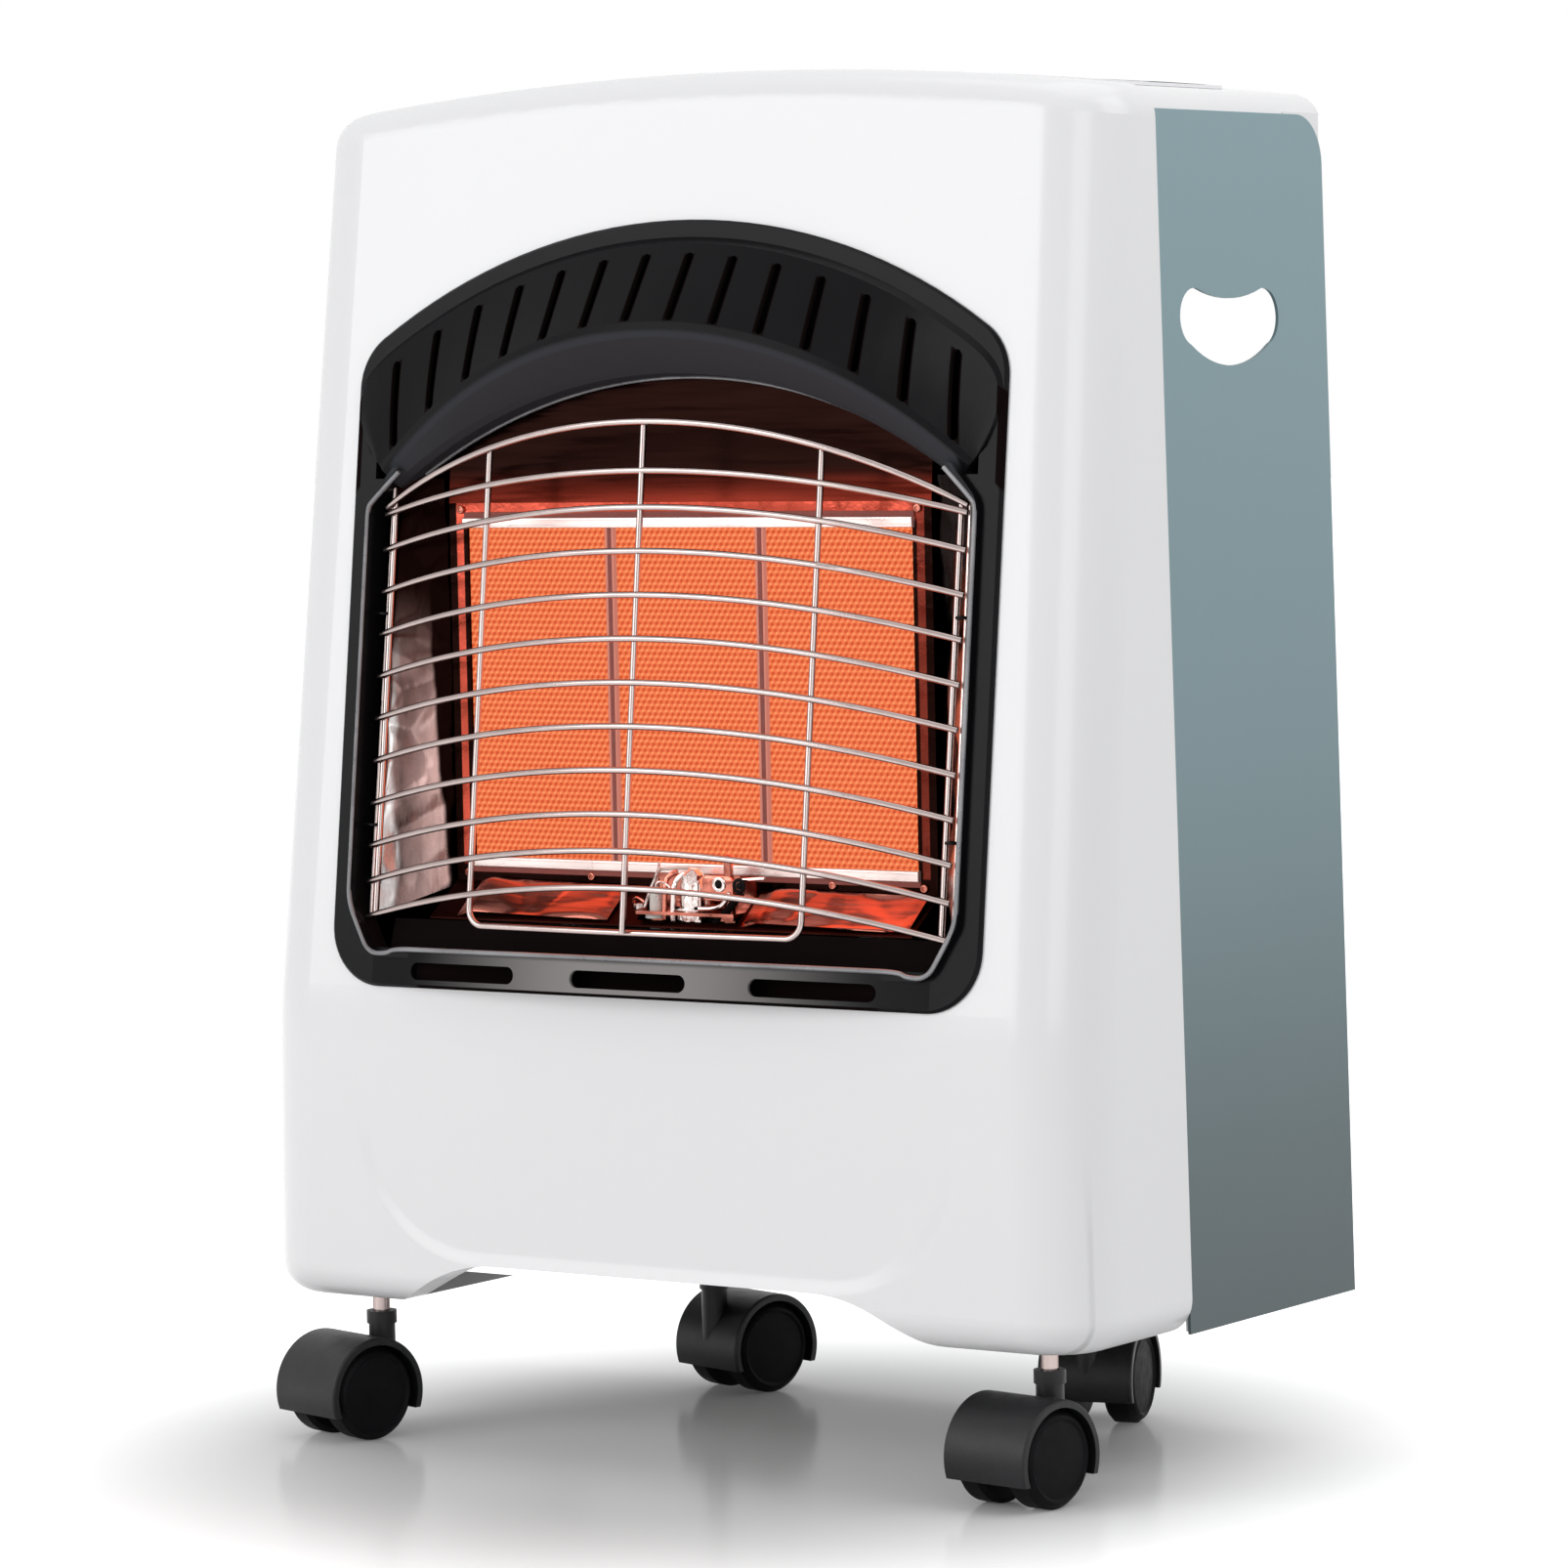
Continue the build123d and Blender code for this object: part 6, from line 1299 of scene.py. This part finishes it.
# %% Guard hooks
HOOK_RADIUS = 0.75 * MM
HOOK_TURN = 2.6 * MM
HOOK_SLACK = 0.8
CLIP_HALF = 3.5 * MM
GUARD_WIRE = 1.5 * MM
clip_low, clip_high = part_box("guard_clips")
side_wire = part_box("wire_guard")[1].x - GUARD_WIRE
hooks = []
for row, y, z in (("low", clip_low.y + CLIP_HALF, clip_low.z + CLIP_HALF),
                  ("high", clip_high.y - CLIP_HALF, clip_high.z - CLIP_HALF)):
    for side in (-1, 1):
        wire_x = side * side_wire
        path = [(side * clip_high.x, y, z), (wire_x + side * HOOK_TURN, y, z),
                (wire_x + side * HOOK_TURN * HOOK_SLACK, y - HOOK_TURN, z),
                (wire_x - side * HOOK_TURN, y - HOOK_TURN, z),
                (wire_x - side * HOOK_TURN, y + HOOK_TURN, z),
                (wire_x, y + HOOK_TURN, z)]
        hooks.append(bent_wire("guard_hook_%s_%d" % (row, side), path, HOOK_RADIUS, 3))
print("guard hooks:", len(hooks), "at x", round(side_wire, 4))
select_only(*hooks)
bpy.ops.object.join()
hooks[0].name = "guard_hooks"
settle(hooks[0], resin)
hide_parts("guard_clips")

# %% [markdown]
# The side panels' rear corners are rounded where they meet the top's skirt. A small enamelled
# gusset stands inside each corner and closes the gap. It is a bar whose lower corners are
# rounded and whose inner face is sunk like a pressed stiffening.

# %% Corner gussets
GUSSET_WALL = 1.0 * MM
GUSSET_X = 218.6 * MM
GUSSET_DEPTH = 34 * MM
GUSSET_HEIGHT = 26 * MM
GUSSET_ROUND = 8 * MM
panel_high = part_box("right_side_panel")[1]
for name, side in (("left", -1), ("right", 1)):
    x0, x1 = sorted((side * GUSSET_X, side * (GUSSET_X - GUSSET_WALL)))
    gusset = bar_piece("corner_gusset_" + name,
                       (x0, panel_high.y - GUSSET_DEPTH, panel_high.z - GUSSET_HEIGHT),
                       (x1, panel_high.y - 1.6 * MM, panel_high.z + 1 * MM))
    pick(gusset, "edges", lambda e: edge_run(e, 0) > GUSSET_WALL / 2
         and all(v.co.z < panel_high.z - GUSSET_HEIGHT / 2 for v in e.verts))
    bpy.ops.mesh.bevel(offset=GUSSET_ROUND, segments=5)
    pick(gusset, "faces", facing(-side, 0, 0))
    bpy.ops.mesh.inset(thickness=3 * MM, depth=-0.3 * MM)
    settle(gusset, white)
print("gussets at x", round(GUSSET_X, 4))

# %% [markdown]
# The rear cover's louvres are pressed: each slot has a small hood over it that sheds dust. A
# hood starts as a bar behind its slot, its upper outer edge is pushed in, its edges are
# rounded and its underside is sunk. One is modelled, and the others are copies.

# %% Louvre hoods
LOUVRE_LENGTH = 126 * MM
LOUVRE_RISE = 7.5 * MM
LOUVRE_OUT = 4.2 * MM
LOUVRE_SLOPE = 0.8 * LOUVRE_OUT
LOUVRE_ROUND = 1.8 * MM
LOUVRE_WALL = 0.7 * MM
LOUVRE_SUNK = 1.6 * MM
LOUVRE_X = 100 * MM
LOUVRE_PITCH = 16 * MM
LOUVRE_ROWS = 6
LOUVRE_BANKS = (150 * MM, 330 * MM)
low_bank = LOUVRE_BANKS[0]
cover_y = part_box("rear_cover")[1].y - 0.05 * MM

hood = bar_piece("louvre_1", (-LOUVRE_X - LOUVRE_LENGTH / 2, cover_y, low_bank),
                 (-LOUVRE_X + LOUVRE_LENGTH / 2, cover_y + LOUVRE_OUT, low_bank + LOUVRE_RISE))
pick(hood, "edges", lambda e: all(v.co.y > cover_y + 0.5 * LOUVRE_OUT
                                  and v.co.z > low_bank + 0.5 * LOUVRE_RISE for v in e.verts))
bpy.ops.transform.translate(value=(0, -LOUVRE_SLOPE, 0))
pick(hood, "edges", lambda e: edge_run(e, 0) < 1 * MM
     and all(v.co.y > cover_y + 0.1 * LOUVRE_OUT for v in e.verts))
bpy.ops.mesh.bevel(offset=LOUVRE_ROUND, segments=3)
pick(hood, "faces", facing(0, 0, -1))
bpy.ops.mesh.inset(thickness=LOUVRE_WALL)
bpy.ops.mesh.extrude_region_move(TRANSFORM_OT_translate={"value": (0, 0, LOUVRE_SUNK)})
settle(hood, green)
shifts = [(side * 2 * LOUVRE_X, 0, bank - low_bank + row * LOUVRE_PITCH)
          for bank in LOUVRE_BANKS for row in range(LOUVRE_ROWS) for side in (0, 1)]
for count, shift in enumerate(shifts[1:], 2):
    settle(copy_to(hood, shift, "louvre_%d" % count), green)
print("louvre hoods:", count)

# %% [markdown]
# The controls get what a user reads: a pointer on the knob, raised marks and generic numbers
# round it, and a bright ring round the igniter's button. The knob's pointer rides on the knob
# and the marks ride on the cabinet.

# %% Knob pointer
knob_low, knob_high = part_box("control_knob")
knob_x = (knob_low.x + knob_high.x) / 2
knob_y = (knob_low.y + knob_high.y) / 2
POINTER_HALF = 0.9 * MM
POINTER_FROM, POINTER_TO = 7.3 * MM, 16 * MM
POINTER_SUNK, POINTER_PROUD = 0.4 * MM, 0.3 * MM
pointer = bar_piece(
    "knob_pointer",
    (knob_x - POINTER_HALF, knob_low.y + POINTER_FROM, knob_high.z - POINTER_SUNK),
    (knob_x + POINTER_HALF, knob_low.y + POINTER_TO, knob_high.z + POINTER_PROUD))
pick(pointer, "faces", facing(0, 0, 1))
bpy.ops.mesh.bevel(offset=0.25 * MM, segments=2)
settle(pointer, print_white, "knob")
print("knob at", [round(knob_x, 3), round(knob_y, 3)])

# %% Dial marks, numbers and button ring
WELL_DROP = 6.0 * MM
MARK_RADIUS = 25.5 * MM
NUMBER_RADIUS = 31.0 * MM
NUMBER_SIZE = 7.0 * MM
MARK_RISE = 0.5 * MM
MARK_ANGLES = (0, 66, 132, 200)
well_z = knob_low.z - WELL_DROP
button_low, button_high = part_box("igniter_button")
button_x = (button_low.x + button_high.x) / 2


def around(angle, radius):
    """A point round the knob, at an angle clockwise from its front."""
    turn = math.radians(angle)
    return knob_x - radius * math.sin(turn), knob_y - radius * math.cos(turn)


for index, angle in enumerate(MARK_ANGLES):
    stud("dial_mark_%d" % index, (*around(angle, MARK_RADIUS), well_z + MARK_RISE / 2),
         radius=1.1 * MM, height=MARK_RISE, edge=0.2 * MM, material=print_white)
    select_only()
    bpy.ops.object.text_add(location=(*around(angle, NUMBER_RADIUS), well_z))
    number = bpy.context.object
    number.name = "dial_number_%d" % index
    number.data.body = str(index)
    number.data.size = NUMBER_SIZE
    number.data.extrude = MARK_RISE / 2
    number.data.align_x = "CENTER"
    number.data.align_y = "CENTER"
    bpy.ops.object.convert(target="MESH")
    bpy.ops.object.transform_apply(location=True, rotation=True, scale=True)
    settle(number, print_white)
flat_ring("button_ring", (button_x, knob_y, well_z + 0.5 * MM), radius=9.4 * MM,
          wire=1.1 * MM, squash=0.8, material=plated, steps=(48, 10))
print("dial marks:", len(MARK_ANGLES), "and a ring at x", round(button_x, 3))

# %% [markdown]
# Last, nothing is left selected. The dressed heater must not be larger than its frame.

# %% Finish
select_only()
